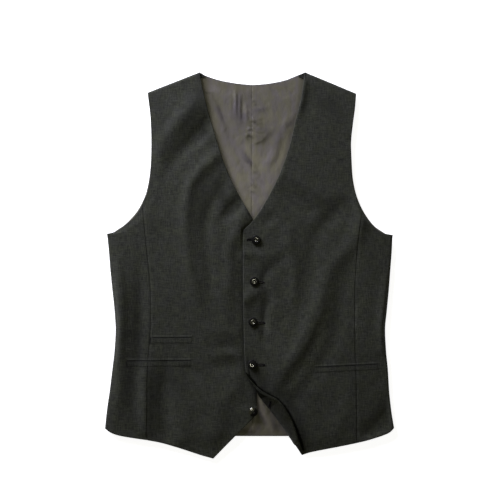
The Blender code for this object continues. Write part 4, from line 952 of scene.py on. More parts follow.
def wool(name, olive, cool, level=1.0, gloss=1.0):
    """Fine worsted: two dark yarn colours, crossed, with uneven threads."""
    n = Nodes(name)
    p = n.uv_mm()
    warp = n.noise(n.stretch(p, 1 / 1.5, 1 / 13.0), 1.0, 1.0)
    weft = n.noise(n.stretch(p, 1 / 13.0, 1 / 1.5), 1.0, 1.0)
    warp_2 = n.noise(n.stretch(p, 1 / 2.8, 1 / 9.0), 1.0, 1.0)
    weft_2 = n.noise(n.stretch(p, 1 / 9.0, 1 / 2.8), 1.0, 1.0)
    fleck = n.noise(p, 0.56, 1.0, 0.5)
    broad = n.noise(p, 1 / 26.0, 1.0)
    tint = n.noise(n.stretch(p, 1 / 17.0, 1 / 17.0), 1.0, 2.0)
    cross = n.math("ADD", n.math("SUBTRACT", warp, 0.5), n.math("SUBTRACT", weft, 0.5))
    cross_2 = n.math("ADD", n.math("SUBTRACT", warp_2, 0.5),
                     n.math("SUBTRACT", weft_2, 0.5))
    value = n.math("ADD", 1.0, n.math("MULTIPLY", cross, 1.3))
    value = n.math("ADD", value, n.math("MULTIPLY", cross_2, 0.3))
    value = n.math("ADD", value, n.math("MULTIPLY", n.math("SUBTRACT", fleck, 0.5), 1.2))
    value = n.math("ADD", value, n.math("MULTIPLY", n.math("SUBTRACT", broad, 0.5), 0.10))
    value = n.math("MAXIMUM", value, 0.25)
    # the shade attribute is painted light and shade, multiplied into the wool's colour
    held = n.tree.nodes.new("ShaderNodeAttribute")
    held.attribute_name = "shade"
    value = n.math("MULTIPLY", value, n.math("SUBTRACT", 1.0, held.outputs["Fac"]))
    colour = n.mix(n.range(tint, 0.34, 0.66, 0.0, 1.0), olive, cool)
    n.link(n.scaled(colour, n.math("MULTIPLY", value, level)),
           n.shader.inputs["Base Color"])
    # yarns: a plain weave of 0.62 mm threads, lifted where they cross over
    grid = n.tree.nodes.new("ShaderNodeSeparateXYZ")
    n.link(p, grid.inputs[0])
    warp_wave = n.math("SINE", n.math("MULTIPLY", grid.outputs[0], math.pi / 0.62))
    weft_wave = n.math("SINE", n.math("MULTIPLY", grid.outputs[1], math.pi / 0.62))
    yarn = n.math("MULTIPLY", n.math("MULTIPLY", warp_wave, weft_wave), 0.5)
    nap = n.noise(p, 3.2, 2.0, 0.6)
    height = n.math("ADD", yarn, n.math("MULTIPLY", nap, 0.8))
    height = n.math("ADD", height, n.math("MULTIPLY", cross, 1.4))
    n.link(n.bump(height, 0.55, 0.00016), n.shader.inputs["Normal"])
    n.link(n.range(fleck, 0.3, 0.7, 0.72, 0.9), n.shader.inputs["Roughness"])
    n.set(Sheen_Weight=0.05 * gloss, Sheen_Roughness=0.6,
          Specular_IOR_Level=0.2 * gloss, IOR=1.45)
    return n.material


def satin(name, warm, cool, rough, level=1.0, shine=0.5, painted_light_and_tint=False):
    """Viscose satin: fine upright lines and uneven tone, with painted light and shade and tints from
    a colour attribute where asked.
    """
    n = Nodes(name)
    p = n.uv_mm()
    line = n.noise(n.stretch(p, 1 / 0.7, 1 / 24.0), 1.0, 2.0)
    smudge = n.noise(n.stretch(p, 1 / 13.0, 1 / 30.0), 1.0, 2.0)
    tint = n.noise(n.stretch(p, 1 / 11.0, 1 / 22.0), 1.0, 2.0)
    value = n.math("ADD", 1.0, n.math("MULTIPLY", n.math("SUBTRACT", line, 0.5), 0.20))
    value = n.math("ADD", value,
                   n.math("MULTIPLY", n.math("SUBTRACT", smudge, 0.5), 0.34))
    colour = n.mix(n.range(tint, 0.40, 0.60, 0.0, 1.0), warm, cool)
    if painted_light_and_tint:
        # the smudge attribute carries painted light and shade, and tints
        spots = n.tree.nodes.new("ShaderNodeAttribute")
        spots.attribute_name = "smudge"
        parts = n.tree.nodes.new("ShaderNodeSeparateColor")
        n.link(spots.outputs["Color"], parts.inputs[0])
        colour = n.mix(parts.outputs["Green"], colour, (0.098, 0.089, 0.058))
        colour = n.mix(parts.outputs["Blue"], colour, (0.081, 0.070, 0.082))
        value = n.math("MULTIPLY", value, n.math("ADD", parts.outputs["Red"], 0.5))
    n.link(n.scaled(colour, n.math("MULTIPLY", value, level)),
           n.shader.inputs["Base Color"])
    grid = n.tree.nodes.new("ShaderNodeSeparateXYZ")
    n.link(p, grid.inputs[0])
    twill = n.math("SINE", n.math("MULTIPLY", n.math(
        "ADD", grid.outputs[0], n.math("MULTIPLY", grid.outputs[1], 0.28)),
        2 * math.pi / 0.55))
    height = n.math("ADD", n.math("MULTIPLY", twill, 0.25),
                    n.math("MULTIPLY", line, 1.0))
    wrinkle = n.noise(n.stretch(p, 1 / 7.0, 1 / 13.0), 1.0, 2.0)
    first = n.bump(wrinkle, 0.35, 0.0009)
    n.link(n.bump(height, 0.35, 0.0001, first), n.shader.inputs["Normal"])
    n.link(n.range(smudge, 0.3, 0.7, rough - 0.05, rough + 0.08),
           n.shader.inputs["Roughness"])
    n.set(Specular_IOR_Level=shine, IOR=1.5, Sheen_Weight=0.05, Sheen_Roughness=0.35)
    return n.material


def button_black():
    n = Nodes("button_black")
    p = n.object_mm()
    streak = n.noise(n.stretch(p, 0.9, 0.35, 0.9), 1.0, 3.0, 0.6, "3D")
    scuff = n.noise(p, 2.4, 3.0, 0.6, "3D")
    colour = n.mix(n.range(streak, 0.35, 0.7, 0.0, 1.0),
                   (0.0040, 0.0040, 0.0048), (0.0085, 0.0078, 0.0080))
    n.link(colour, n.shader.inputs["Base Color"])
    n.link(n.range(scuff, 0.35, 0.75, 0.06, 0.12), n.shader.inputs["Roughness"])
    n.link(n.bump(scuff, 0.08, 0.00008), n.shader.inputs["Normal"])
    n.set(Specular_IOR_Level=1.0, IOR=1.6, Coat_Weight=1.0, Coat_Roughness=0.10,
          Coat_IOR=1.9)
    return n.material


def button_matt():
    n = Nodes("button_matt")
    p = n.object_mm()
    scuff = n.noise(p, 2.4, 3.0, 0.6, "3D")
    n.link(n.mix(n.range(scuff, 0.35, 0.7, 0.0, 1.0), (0.0030, 0.0030, 0.0034),
                 (0.0048, 0.0045, 0.0046)), n.shader.inputs["Base Color"])
    n.link(n.range(scuff, 0.35, 0.75, 0.34, 0.48), n.shader.inputs["Roughness"])
    n.link(n.bump(scuff, 0.1, 0.00008), n.shader.inputs["Normal"])
    n.set(Specular_IOR_Level=0.12, IOR=1.5)
    return n.material


def thread(name, colour, pitch=0.35):
    n = Nodes(name)
    p = n.object_mm()
    axis = n.tree.nodes.new("ShaderNodeSeparateXYZ")
    n.link(p, axis.inputs[0])
    ply = n.math("SINE", n.math("MULTIPLY", n.math(
        "ADD", n.math("ADD", axis.outputs[0], axis.outputs[1]), axis.outputs[2]),
        2 * math.pi / pitch))
    fuzz = n.noise(p, 5.0, 2.0, 0.6, "3D")
    value = n.math("ADD", n.math("MULTIPLY", ply, 0.22),
                   n.math("ADD", 0.55, n.math("MULTIPLY", fuzz, 0.9)))
    base = n.mix(n.range(fuzz, 0.3, 0.7, 0.0, 1.0), colour,
                 tuple(c * 1.5 for c in colour))
    n.link(n.scaled(base, value), n.shader.inputs["Base Color"])
    n.link(n.bump(n.math("ADD", ply, fuzz), 0.5, 0.00008), n.shader.inputs["Normal"])
    n.link(n.range(fuzz, 0.3, 0.7, 0.5, 0.7), n.shader.inputs["Roughness"])
    n.set(Specular_IOR_Level=0.15)
    return n.material


OLIVE = (0.0240, 0.0259, 0.0172)
COOL = (0.0246, 0.0258, 0.0214)
wool_front = wool("wool_front", OLIVE, COOL)
wool_side = wool("wool_side", OLIVE, COOL, 0.97)
# the facing is a darker copy of the same wool, painted shade
wool_facing = wool("wool_facing", OLIVE, COOL, 0.86)
# copies of the wool without sheen and gloss, and with less of both, paint shade on the turned corner
# and beside it
wool_painted_shade = wool("wool_painted_shade", OLIVE, COOL, 1.0, 0.0)
wool_half_painted_shade = wool("wool_half_painted_shade", OLIVE, COOL, 1.0, 0.45)
# a darker copy of the wool, painted shadow on the strap ends in the neck
wool_painted_shadow = wool("wool_shadowed", OLIVE, COOL, 0.45)
lining_satin = satin("lining_satin", (0.092, 0.085, 0.064), (0.086, 0.077, 0.075),
                     0.40, 1.0, 0.5, painted_light_and_tint=True)
back_satin = satin("back_satin", (0.030, 0.028, 0.028), (0.032, 0.029, 0.034),
                   0.45, 1.0, 0.4)
# a near-black strip in each pocket mouth, painted shadow of the open mouth
pocket_mouth_painted_shadow = wool("pocket_mouth_shadow_black", (0.006, 0.006, 0.006), (0.0065, 0.0065, 0.007))
horn = button_black()
horn_matt = button_matt()
thread_black = thread("thread_black", (0.0030, 0.0023, 0.0034))


# -------------------------------------------------------------- shell building
def place(x, y, z):
    """Sheet squares and mm to metres, for arrays."""
    return np.stack([(np.asarray(x) - CENTRE_ACROSS) * SQUARE / 1000.0,
                     (CENTRE_DOWN - np.asarray(y)) * SQUARE / 1000.0,
                     np.asarray(z) / 1000.0], axis=-1)


def quads(rows, cols, start=0):
    i, j = np.meshgrid(np.arange(rows - 1), np.arange(cols - 1), indexing="ij")
    k = (start + i * cols + j).ravel()
    return np.stack([k, k + 1, k + cols + 1, k + cols], axis=1).tolist()


def boundary(faces):
    """Directed edges that only one face uses."""
    edges = set()
    for f in faces:
        for a, b in zip(f, f[1:] + f[:1]):
            edges.add((a, b))
    return [(a, b) for a, b in edges if (b, a) not in edges]


def lining_painted_light_shade_and_tint(x, y):
    """Painted light and shade, and yellow and blue tints, of the lining at sheet places."""
    out = [np.full_like(x, 0.5), np.zeros_like(x), np.zeros_like(x)]
    for sx, sy, rx, ry, turn, light, yellow, blue in LINING_PAINTED_LIGHT_SHADE_AND_TINT.values():
        c, s = math.cos(math.radians(turn)), math.sin(math.radians(turn))
        u, v = (x - sx) * c + (y - sy) * s, (y - sy) * c - (x - sx) * s
        share = np.exp(-((u / rx) ** 2 + (v / ry) ** 2))
        for k, amount in enumerate((light, yellow, blue)):
            out[k] = out[k] + share * amount
    # painted light lifts the lining low in the V, and painted shade darkens it towards the hem
    deep = smooth((y - 130) / 40) * smooth((228 - y) / 20)
    out[0] = 0.5 + (out[0] - 0.5) * 1.25 + 0.03 + 0.38 * deep - 0.05 * smooth((y - 385) / 10)
    out[1] = out[1] + 0.03 * smooth((y - 385) / 10)
    # painted shade beside the rolled neck edges, and a darker, bluer line along the back neck
    upper = smooth((222 - y) / 10)
    from_left, from_right = inner_left(y) - x, x - inner_right(y)
    neck = np.where(x < CENTRE_BACK, neck_line_right(x), neck_line_left(x))
    out[0] = out[0] - upper * (0.40 * np.exp(-(np.maximum(from_left, 0) / 3.0) ** 2)
                               + 0.14 * np.exp(-(np.maximum(from_right, 0) / 4.5) ** 2)
                               + 0.26 * np.exp(-((y - neck) / 1.1) ** 2))
    out[2] = out[2] + upper * 0.3 * np.exp(-((y - neck) / 1.4) ** 2)
    return np.clip(np.stack(out, axis=1), 0, 1)


def painted_shade(table, x, y):
    """Share of painted shade by which the lines of a table darken the cloth; a negative share paints
    light.
    """
    light = np.ones_like(x)
    for stops in table.values():
        line = np.array(stops, float)
        best = np.full(x.shape, 1e9)
        half, share = np.ones_like(x), np.zeros_like(x)
        for a, b in zip(line, line[1:]):
            d, t = to_line(x, y, a[0], a[1], b[0], b[1])
            near = d < best
            best = np.where(near, d, best)
            half = np.where(near, a[2] + (b[2] - a[2]) * t, half)
            share = np.where(near, a[3] + (b[3] - a[3]) * t, share)
        light = light * (1 - share * np.exp(-(best / (half * SQUARE)) ** 2))
    return 1 - light


def set_shade(piece, values):
    layer = piece.data.attributes.new("shade", "FLOAT", "POINT")
    layer.data.foreach_set("value", np.asarray(values, np.float32))


def make(name, points, faces, materials, uv=None, smooth_faces=True, indices=None):
    mesh = bpy.data.meshes.new(name)
    mesh.from_pydata([tuple(p) for p in points], [], faces)
    if uv is not None:
        layer = mesh.uv_layers.new(name="pattern")
        loops = np.zeros(len(mesh.loops), np.int32)
        mesh.loops.foreach_get("vertex_index", loops)
        layer.data.foreach_set("uv", np.asarray(uv, float)[loops].ravel())
    for m in materials if isinstance(materials, (list, tuple)) else [materials]:
        mesh.materials.append(m)
    if indices is not None:
        mesh.polygons.foreach_set("material_index", indices)
    mesh.update()
    if smooth_faces:
        mesh.shade_smooth()
    thing = bpy.data.objects.new(name, mesh)
    bpy.context.scene.collection.objects.link(thing)
    return thing


def shell(name, upper, lower, faces, material, pattern):
    """A closed sheet between an upper and a lower set of points."""
    n = len(upper)
    rim = [[b, a, a + n, b + n] for a, b in boundary(faces)]
    under = [[v + n for v in reversed(f)] for f in faces]
    points = np.concatenate([upper, lower])
    uv = np.concatenate([pattern, pattern])
    return make(name, points, faces + under + rim, material, uv)


def from_edges(points, lines):
    """Distance in mm of sheet points to the nearest of some edge lines."""
    best = np.full(len(points), 1e9)
    for line in lines:
        line = np.asarray(line, float)
        for a, b in zip(line, line[1:]):
            if np.hypot(*(b - a)) < 1e-9:
                continue
            d, t = to_line(points[:, 0], points[:, 1], a[0], a[1], b[0], b[1])
            best = np.minimum(best, d)
    return best


def turned_in(e, radius):
    """How far each side of an edge is rounded in, e mm from it."""
    s = np.clip(1.0 - np.asarray(e) / radius, 0.0, 1.0)
    return radius * (1.0 - np.sqrt(np.maximum(1.0 - s * s, 0.0)))


def pattern_of(x, y):
    """Pattern coordinates in metres."""
    return np.stack([np.asarray(x) * SQUARE / 1000.0,
                     -np.asarray(y) * SQUARE / 1000.0], axis=-1)


def finish_cloth(piece, nodes):
    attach(piece, "root")
    if nodes:
        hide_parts(*nodes)
    return piece


def panel(name, grid, top, thickness, material, fold_lines, seam_lines,
          slot, nodes, fold_r=None, seam_r=0.3, sink=None):
    """A closed, flat-lying piece: a grid of sheet points and a height."""
    rows, cols = grid.shape[:2]
    flat = grid.reshape(-1, 2)
    x, y = flat[:, 0], flat[:, 1]
    faces = quads(rows, cols)
    z = top(x, y)
    if sink is not None:
        z = z + sink(x, y)
    half = thickness / 2
    drop = np.zeros(len(flat))
    if fold_lines:
        drop = np.maximum(drop, turned_in(from_edges(flat, fold_lines),
                                          fold_r or half * 0.93))
    if seam_lines:
        drop = np.maximum(drop, turned_in(from_edges(flat, seam_lines), seam_r))
    drop = np.minimum(drop, half * 0.93)
    upper = place(x, y, z - drop)
    lower = place(x, y, z - thickness + drop)
    pattern = pattern_of(x, y)
    piece = shell(name, upper, lower, faces, material, pattern)
    if slot == "lining_satin":
        # the lining carries its painted light and shade, and tints, as a colour attribute
        shade = np.tile(lining_painted_light_shade_and_tint(x, y), (2, 1))
        layer = piece.data.color_attributes.new("smudge", "FLOAT_COLOR", "POINT")
        layer.data.foreach_set("color", np.concatenate(
            [shade, np.ones((len(shade), 1))], axis=1).ravel())
    # the fronts carry their painted light and shade as a point attribute
    if slot == "wool" and top in (top_right, top_left):
        painted_shade_here = painted_shade(SHADE_RIGHT if top is top_right else SHADE_LEFT, x, y)
        set_shade(piece, np.tile(painted_shade_here, 2))
    return finish_cloth(piece, nodes)


NEAR_EDGE = [0.0, 0.1, 0.28, 0.55, 0.95, 1.5, 2.4, 3.8]
NEAR_SIDE = [0.0, 0.12, 0.4, 0.9, 1.5, 2.2, 3.0, 3.8, 4.6, 6.0]

# ------------------------------------------------------------------- the back
for layer, short, thick, material, slot_name, top in (
        ("back_outer", 0.0, BACK_T, back_satin, "back_cloth",
         lambda x, y: np.full_like(x, BACK_T)),
        ("back_lining", LINING_SHORT, LINING_T, lining_satin, "lining_satin",
         top_lining)):
    fine = layer == "back_lining"
    coarse_out = stations(ROWS_BACK, 1)
    coarse_in = stations(ROWS_BACK, 2)
    coarse_in = coarse_in[0] - short + (coarse_in - coarse_in[0]) * (
        (coarse_in[0] - coarse_in[-1] - 2 * short) / (coarse_in[0] - coarse_in[-1]))
    last = len(coarse_out) - 1
    steps = 8 if fine else 4
    places = np.unique(np.concatenate([
        [0, 0.004, 0.012, 0.03, 0.06, 0.1],
        np.arange(0, 4, 1.0 / 12 if fine else 0.25),
        np.arange(4, last, 1.0 / (9 if fine else 4)),
        [last - 0.12, last - 0.07, last - 0.04, last - 0.015, last - 0.005, last]]))
    outer, inner = at_rows(coarse_out, places), at_rows(coarse_in, places)
    for side, side_rows, hem_rows, neck_rows, sign in (
            ("right", BACK_RIGHT, BACK_HEM_RIGHT, BACK_NECK_RIGHT, 1),
            ("left", BACK_LEFT, BACK_HEM_LEFT, BACK_NECK_LEFT, -1)):
        low, high = side_rows[0][0], side_rows[-1][0]
        down = high + (outer - outer[-1]) * (low - high) / (outer[0] - outer[-1])
        flank = edge(through(side_rows), down)
        seam_at = CENTRE_BACK + (0.0 if fine else 0.4)
        centre = np.stack([np.full(len(inner), seam_at - sign * 0.003), inner], axis=1)
        flank[0, 1] -= short
        split = 0.52
        outer_share = np.array([0, .002, .006, .012, .02, .03, .045, .07])
        share = np.concatenate([outer_share,
                                np.linspace(.10, split, 22 if fine else 10)[:-1],
                                np.linspace(split, .965, 56 if fine else 14),
                                [.975, .983, .989, .994, .9975, 1.0]])
        tip = np.array(flank[-1])
        neck_share = np.clip((share - split) / (1 - split), 0, 1)
        shoulder_share = np.clip(share / split, 0, 1)[:, None]
        if sign > 0:
            neck_pts = along(neck_rows, neck_share)
            start = neck_pts[0]
        else:
            neck_pts = along(neck_rows, 1 - neck_share)
            start = neck_pts[0]
        head = np.where(share[:, None] < split,
                        tip + (start - tip) * shoulder_share, neck_pts)
        hem_pts = along(hem_rows, share if sign > 0 else 1 - share)
        on_neck = smooth((head[:, 0] - 196) / 6) * smooth((308 - head[:, 0]) / 6)
        head[:, 1] += short * on_neck
        hem_pts[:, 1] -= short
        head[-1], hem_pts[-1] = centre[-1], centre[0]
        head[0], hem_pts[0] = flank[-1], flank[0]
        grid = loft(flank, centre, hem_pts, head, share)
        if sign < 0:
            grid = grid[:, ::-1]
        outline = [grid[0], grid[-1], grid[:, 0] if sign > 0 else grid[:, -1]]
        middle = [grid[:, -1] if sign > 0 else grid[:, 0]]
        panel(f"{layer}_{side}_cloth", grid, top, thick, material, outline, middle,
              slot_name, [f"{layer}_{side}"],
              seam_r=0.05)

# ------------------------------------------------------- wearer's right front
coarse_out, coarse_in = stations(ROWS_RIGHT, 1), stations(ROWS_RIGHT, 2)
last = len(coarse_out) - 1
places = np.unique(np.concatenate([
    [0, 0.006, 0.018, 0.035, 0.06, 0.1, 0.16, 0.24, 0.34],
    np.linspace(0.45, last - 3, 168),
    np.linspace(last - 3, last - 2, 8), np.linspace(last - 2, last, 12)]))
down_out, down_in = at_rows(coarse_out, places), at_rows(coarse_in, places)
flank = edge(through(SEAM_RIGHT + ARMHOLE_RIGHT[1:]), down_out)
flank[:, 0] += np.where(down_out > 203.6, SEAM_GAP, 0.0)
front_edge = edge(inner_right, down_in)
share = spread(1.0, NEAR_EDGE, NEAR_EDGE, 2.3, span=190.0)
share = np.unique(np.concatenate([share, [0.5]]))
first = along(HEM_RIGHT, np.clip(share / 0.5, 0, 1))
second = along(CUTAWAY_RIGHT, np.clip((share - 0.5) / 0.5, 0, 1))
hem_pts = np.where(share[:, None] < 0.5, first, second)
hem_pts[0] = flank[0]
head = (np.array(SHOULDER_RIGHT[0]) * (1 - share[:, None])
        + np.array(SHOULDER_RIGHT[-1]) * share[:, None])
grid = loft(flank, front_edge, hem_pts, head, share)
arm = grid[down_out <= 204.2, 0]
seam = grid[down_out >= 203.2, 0]
panel("front_right_main_cloth", grid, top_right, FRONT_T, wool_front,
      [grid[:, -1], grid[0], arm], [seam, grid[-1]], "wool", ["front_right_main"])

coarse_flank = stations(FLANK_RIGHT, 1)
last = len(coarse_flank) - 1
places = np.unique(np.concatenate([
    [0, 0.006, 0.018, 0.035, 0.06, 0.1, 0.16, 0.24, 0.34],
    np.linspace(0.45, last - 0.3, 100),
    [last - .22, last - .14, last - .08, last - .04, last - .018, last - .006, last]]))
down_side = at_rows(coarse_flank, places)
down_seam = at_rows(stations(ROWS_RIGHT, 1)[:last + 1], places)
flank = edge(side_right, down_side)
seam = edge(through(SEAM_RIGHT), down_seam)
seam[:, 0] -= SEAM_GAP
share = spread(1.0, NEAR_SIDE, NEAR_EDGE, 2.3, span=62.0)
hem_pts, head = along(HEM_SIDE_RIGHT, share), along(SCYE_RIGHT, share)
hem_pts[0], hem_pts[-1] = flank[0], seam[0]
head[0], head[-1] = flank[-1], seam[-1]
grid = loft(flank, seam, hem_pts, head, share)
panel("front_right_side_cloth", grid, top_right, FRONT_T, wool_side,
      [grid[0], grid[-1], grid[:, 0]], [grid[:, -1]], "wool", ["front_right_side"])

# -------------------------------------------------------- wearer's left front
fold_length = math.hypot(FOLD_FOOT[0] - FOLD_TOP[0], FOLD_FOOT[1] - FOLD_TOP[1])
fold_dir = np.array([FOLD_FOOT[0] - FOLD_TOP[0],
                     FOLD_FOOT[1] - FOLD_TOP[1]]) / fold_length
fold_out = np.array([-fold_dir[1], fold_dir[0]])
starts_inside = through([(row[0], row[1]) for row in CORNER])
turned_back = through([(row[0], row[2]) for row in CORNER])
turn_at = through([(row[0], row[3]) for row in CORNER])


def fold_point(s):
    s = np.atleast_1d(np.asarray(s, float))
    return (np.array(FOLD_TOP) + fold_dir * s[:, None]
            - fold_out * starts_inside(s)[:, None])


def past_fold(s):
    return turned_back(s) * SQUARE * TURN_SLACK


def roll(s, depth):
    """Sections across the fold: mm out, mm up and the angle turned."""
    full = np.maximum(past_fold(s), 1e-6)
    mean = np.radians(turn_at(s))
    start = np.maximum(mean - CURL, 0.05)
    radius = np.maximum(np.minimum(ROLL_R, 0.55 * full / start), 1e-6)
    tight = radius * start
    bend = 2 * CURL / np.maximum(full - tight, 1e-6)
    a1 = depth / radius
    a2 = start + bend * (depth - tight)
    out1, up1 = radius * np.sin(a1), radius * (1 - np.cos(a1))
    out2 = radius * np.sin(start) + (np.sin(a2) - np.sin(start)) / bend
    up2 = radius * (1 - np.cos(start)) + (np.cos(start) - np.cos(a2)) / bend
    near = depth <= tight
    return (np.where(near, out1, out2), np.where(near, up1, up2),
            np.where(near, a1, a2))


def turned(s, depth, off=0.0):
    """Points of the turned-back corner, off mm outside its upper side."""
    s = np.atleast_1d(np.asarray(s, float))
    depth = np.broadcast_to(np.asarray(depth, float), s.shape)
    off = np.broadcast_to(np.asarray(off, float), s.shape)
    base = fold_point(s)
    out, up, angle = roll(s, depth)
    out = out + off * np.sin(angle)
    up = up - off * np.cos(angle)
    spot = base + fold_out * (out / SQUARE)[:, None]
    z = top_left(base[:, 0], base[:, 1])
    return place(spot[:, 0], spot[:, 1], z + up)


coarse_in, coarse_out = stations(ROWS_LEFT, 2), stations(ROWS_LEFT, 1)
fold_rows = ROWS_LEFT[1][0]
last = len(coarse_in) - 1
coarse_reach = np.array([fold_length * (1 - k / fold_rows)
                         for k in range(fold_rows + 1)])
coarse_reach[fold_rows - 1] = 7.0
fold_places = np.unique(np.concatenate([
    [0, 0.02, 0.05, 0.09, 0.14, 0.2, 0.28, 0.38], np.linspace(0.5, 9.5, 74),
    [9.6, 9.72, 9.82, 9.9, 9.96, 10.0]]))
upper_places = np.unique(np.concatenate([
    np.linspace(10, last - 3, 150), np.linspace(last - 3, last - 2, 7),
    np.linspace(last - 2, last, 12)]))
places = np.concatenate([fold_places, upper_places[1:]])
count_fold = len(fold_places)
down_in, down_out = at_rows(coarse_in, places), at_rows(coarse_out, places)
reach = np.interp(fold_places, np.arange(fold_rows + 1), coarse_reach)
near = edge(inner_left, down_in)
near[:count_fold] = fold_point(reach)
far = edge(through(SEAM_LEFT + ARMHOLE_LEFT[1:]), down_out)
far[:, 0] -= np.where(down_out > 212.0, SEAM_GAP, 0.0)
share = spread(1.0, NEAR_EDGE, NEAR_EDGE, 1.75, span=180.0)
hem_pts = along(HEM_LEFT, share)
hem_pts[0], hem_pts[-1] = near[0], far[0]
head = (np.array(SHOULDER_LEFT[0]) * (1 - share[:, None])
        + np.array(SHOULDER_LEFT[-1]) * share[:, None])
grid = loft(near, far, hem_pts, head, share)
rows, cols = grid.shape[:2]
flat = grid.reshape(-1, 2)
x, y = flat[:, 0], flat[:, 1]
arm = grid[down_out <= 212.6, -1]
seam = grid[down_out >= 211.4, -1]
lap_edge = grid[count_fold - 1:, 0]
half = FRONT_T / 2
drop = np.maximum(turned_in(from_edges(flat, [lap_edge, grid[0], arm]), half * 0.93),
                  turned_in(from_edges(flat, [seam, grid[-1]]), 0.3))
# the hem's rounding fades out where the hem meets the fold
drop = drop * smooth((np.hypot(x - FOLD_TOP[0], y - FOLD_TOP[1]) - 0.0) / 0.4 + 1)
z = top_left(x, y)
upper = [place(x, y, z - drop)]
lower = [place(x, y, z - FRONT_T + drop)]
pattern = [pattern_of(x, y)]
faces = quads(rows, cols)
DEPTHS = np.array([0, .035, .07, .105, .14, .18, .22, .27, .32, .38, .44, .5, .56, .62,
                   .68, .74, .80, .85, .90, .94, .965, .982, .993, 1.0])
index = np.zeros((count_fold, len(DEPTHS)), int)
index[:, 0] = np.arange(count_fold) * cols
start = len(flat)
s_all, d_all, drop_all, pat_all = [], [], [], []
for k in range(count_fold):
    full = float(past_fold(reach[k]))
    if full < 0.15:
        index[k, :] = index[k, 0]
        continue
    for c in range(1, len(DEPTHS)):
        index[k, c] = start + len(s_all)
        depth = DEPTHS[c] * full
        s_all.append(reach[k])
        d_all.append(depth)
        ends = min(reach[k], fold_length - reach[k]) * SQUARE
        drop_all.append(float(turned_in(full - depth, half * 0.93)))
        base = fold_point(reach[k])[0] + fold_out * depth / SQUARE
        pat_all.append(base)
s_all, d_all, drop_all = (np.array(v) for v in (s_all, d_all, drop_all))
pat_all = np.array(pat_all)
upper.append(turned(s_all, d_all, drop_all))
lower.append(turned(s_all, d_all, FRONT_T - drop_all))
pattern.append(pattern_of(pat_all[:, 0], pat_all[:, 1]))
for k in range(count_fold - 1):
    for c in range(len(DEPTHS) - 1):
        ring = [int(index[k][c + 1]), int(index[k][c]),
                int(index[k + 1][c]), int(index[k + 1][c + 1])]
        ring = [v for n, v in enumerate(ring) if v != ring[n - 1]]
        if len(set(ring)) >= 3:
            faces.append(ring)
upper, lower, pattern = (np.concatenate(v) for v in (upper, lower, pattern))
front_left = shell("front_left_main_cloth", upper, lower, faces, wool_front, pattern)
# painted shade on both sides of the turned corner, darkest where it stands up, lighter at its rim; a
# negative value paints light
turned_share = d_all / past_fold(s_all)
early = 1 - smooth((s_all - 24) / 24)
outer_late = np.interp(turned_share, [0, 0.1, 0.85, 1.0], [0.55, 0.55, 0.48, -0.10])
outer_side = outer_late + early * (np.interp(
    turned_share, [0, 0.85, 0.95, 1.0], [0.80, 0.86, 0.80, 0.50]) - outer_late)
inner_late = np.interp(turned_share, [0, 0.75, 0.93, 1.0], [0.7, 0.66, 0.40, -0.10])
inner_side = inner_late + early * (np.interp(
    turned_share, [0, 0.75, 0.94, 1.0], [0.85, 0.88, 0.84, 0.45]) - inner_late)
shade_main = painted_shade(SHADE_LEFT, x, y)
set_shade(front_left, np.concatenate([shade_main, outer_side, shade_main,
                                      inner_side]))


def paint_shade_without_sheen(piece, along, ends):
    """Gives the rolled and the shaded stretches a copy of the wool without sheen or gloss, painted
    shade: faces short of the first end take none, short of the second less.
    """
    piece.data.materials.append(wool_painted_shade)
    piece.data.materials.append(wool_half_painted_shade)
    for face in piece.data.polygons:
        furthest = max(along[v] for v in face.vertices)
        if furthest < ends[1]:
            face.material_index = 1 if furthest < ends[0] else 2


# the cloth under the dark line above the turned corner takes them too, as painted shade
under_corner = painted_shade({"line": SHADE_LEFT["above the turned corner"]},
                          flat[:, 0], flat[:, 1])
paint_shade_without_sheen(front_left, np.tile(np.concatenate([
    np.interp(under_corner, [0.2, 0.5, 0.9], [50, 34, 10]), s_all]), 2), (34, 46))
finish_cloth(front_left, ["front_left_main"])

# ------------------------------------------------------------------ the facing
s_line = np.linspace(FACING_ENDS[0], FACING_ENDS[1], 76)
shares = 1 - np.array([0, .004, .012, .024, .04, .07, .11, .16, .22, .28, .35, .42, .5,
                       .58, .66, .74, .80, .85, .88])
upper, lower, pattern = [], [], []
for s in s_line:
    full = float(past_fold(s))
    inset = 1.1
    depth = np.maximum(shares * (full - inset), 0.0)
    end = min(s - s_line[0], s_line[-1] - s) * SQUARE
    from_free = (1 - shares) * full
    from_back = (shares - shares[-1]) * full
    e = np.minimum(np.minimum(from_free, from_back), end)
    close = turned_in(e, FACING_T / 2 * 0.9)
    settle = 0.28 * (1 - smooth(end / 5.0)) + 0.2 * (1 - smooth(from_back / 3.0))
    low = FRONT_T + 0.12 - settle * 0.0 + close
    high = FRONT_T + 0.12 + FACING_T * (1 - settle) - close
    low, high = np.minimum(low, high - 0.06), high
    spot = np.full(len(depth), s)
    # the visible side is the one further from the wool
    upper.append(turned(spot, depth, high))
    lower.append(turned(spot, depth, low))
    base = fold_point(spot) + fold_out * (depth / SQUARE)[:, None]
    pattern.append(pattern_of(base[:, 0], base[:, 1]))
upper, lower, pattern = (np.concatenate(v) for v in (upper, lower, pattern))
faces = [list(reversed(f)) for f in quads(len(s_line), len(shares))]
centre_normal = None
facing = shell("front_left_facing_cloth", upper, lower, faces, wool_facing, pattern)
from_rim = np.tile(1 - shares, len(s_line))
along_fold = np.repeat(s_line, len(shares))
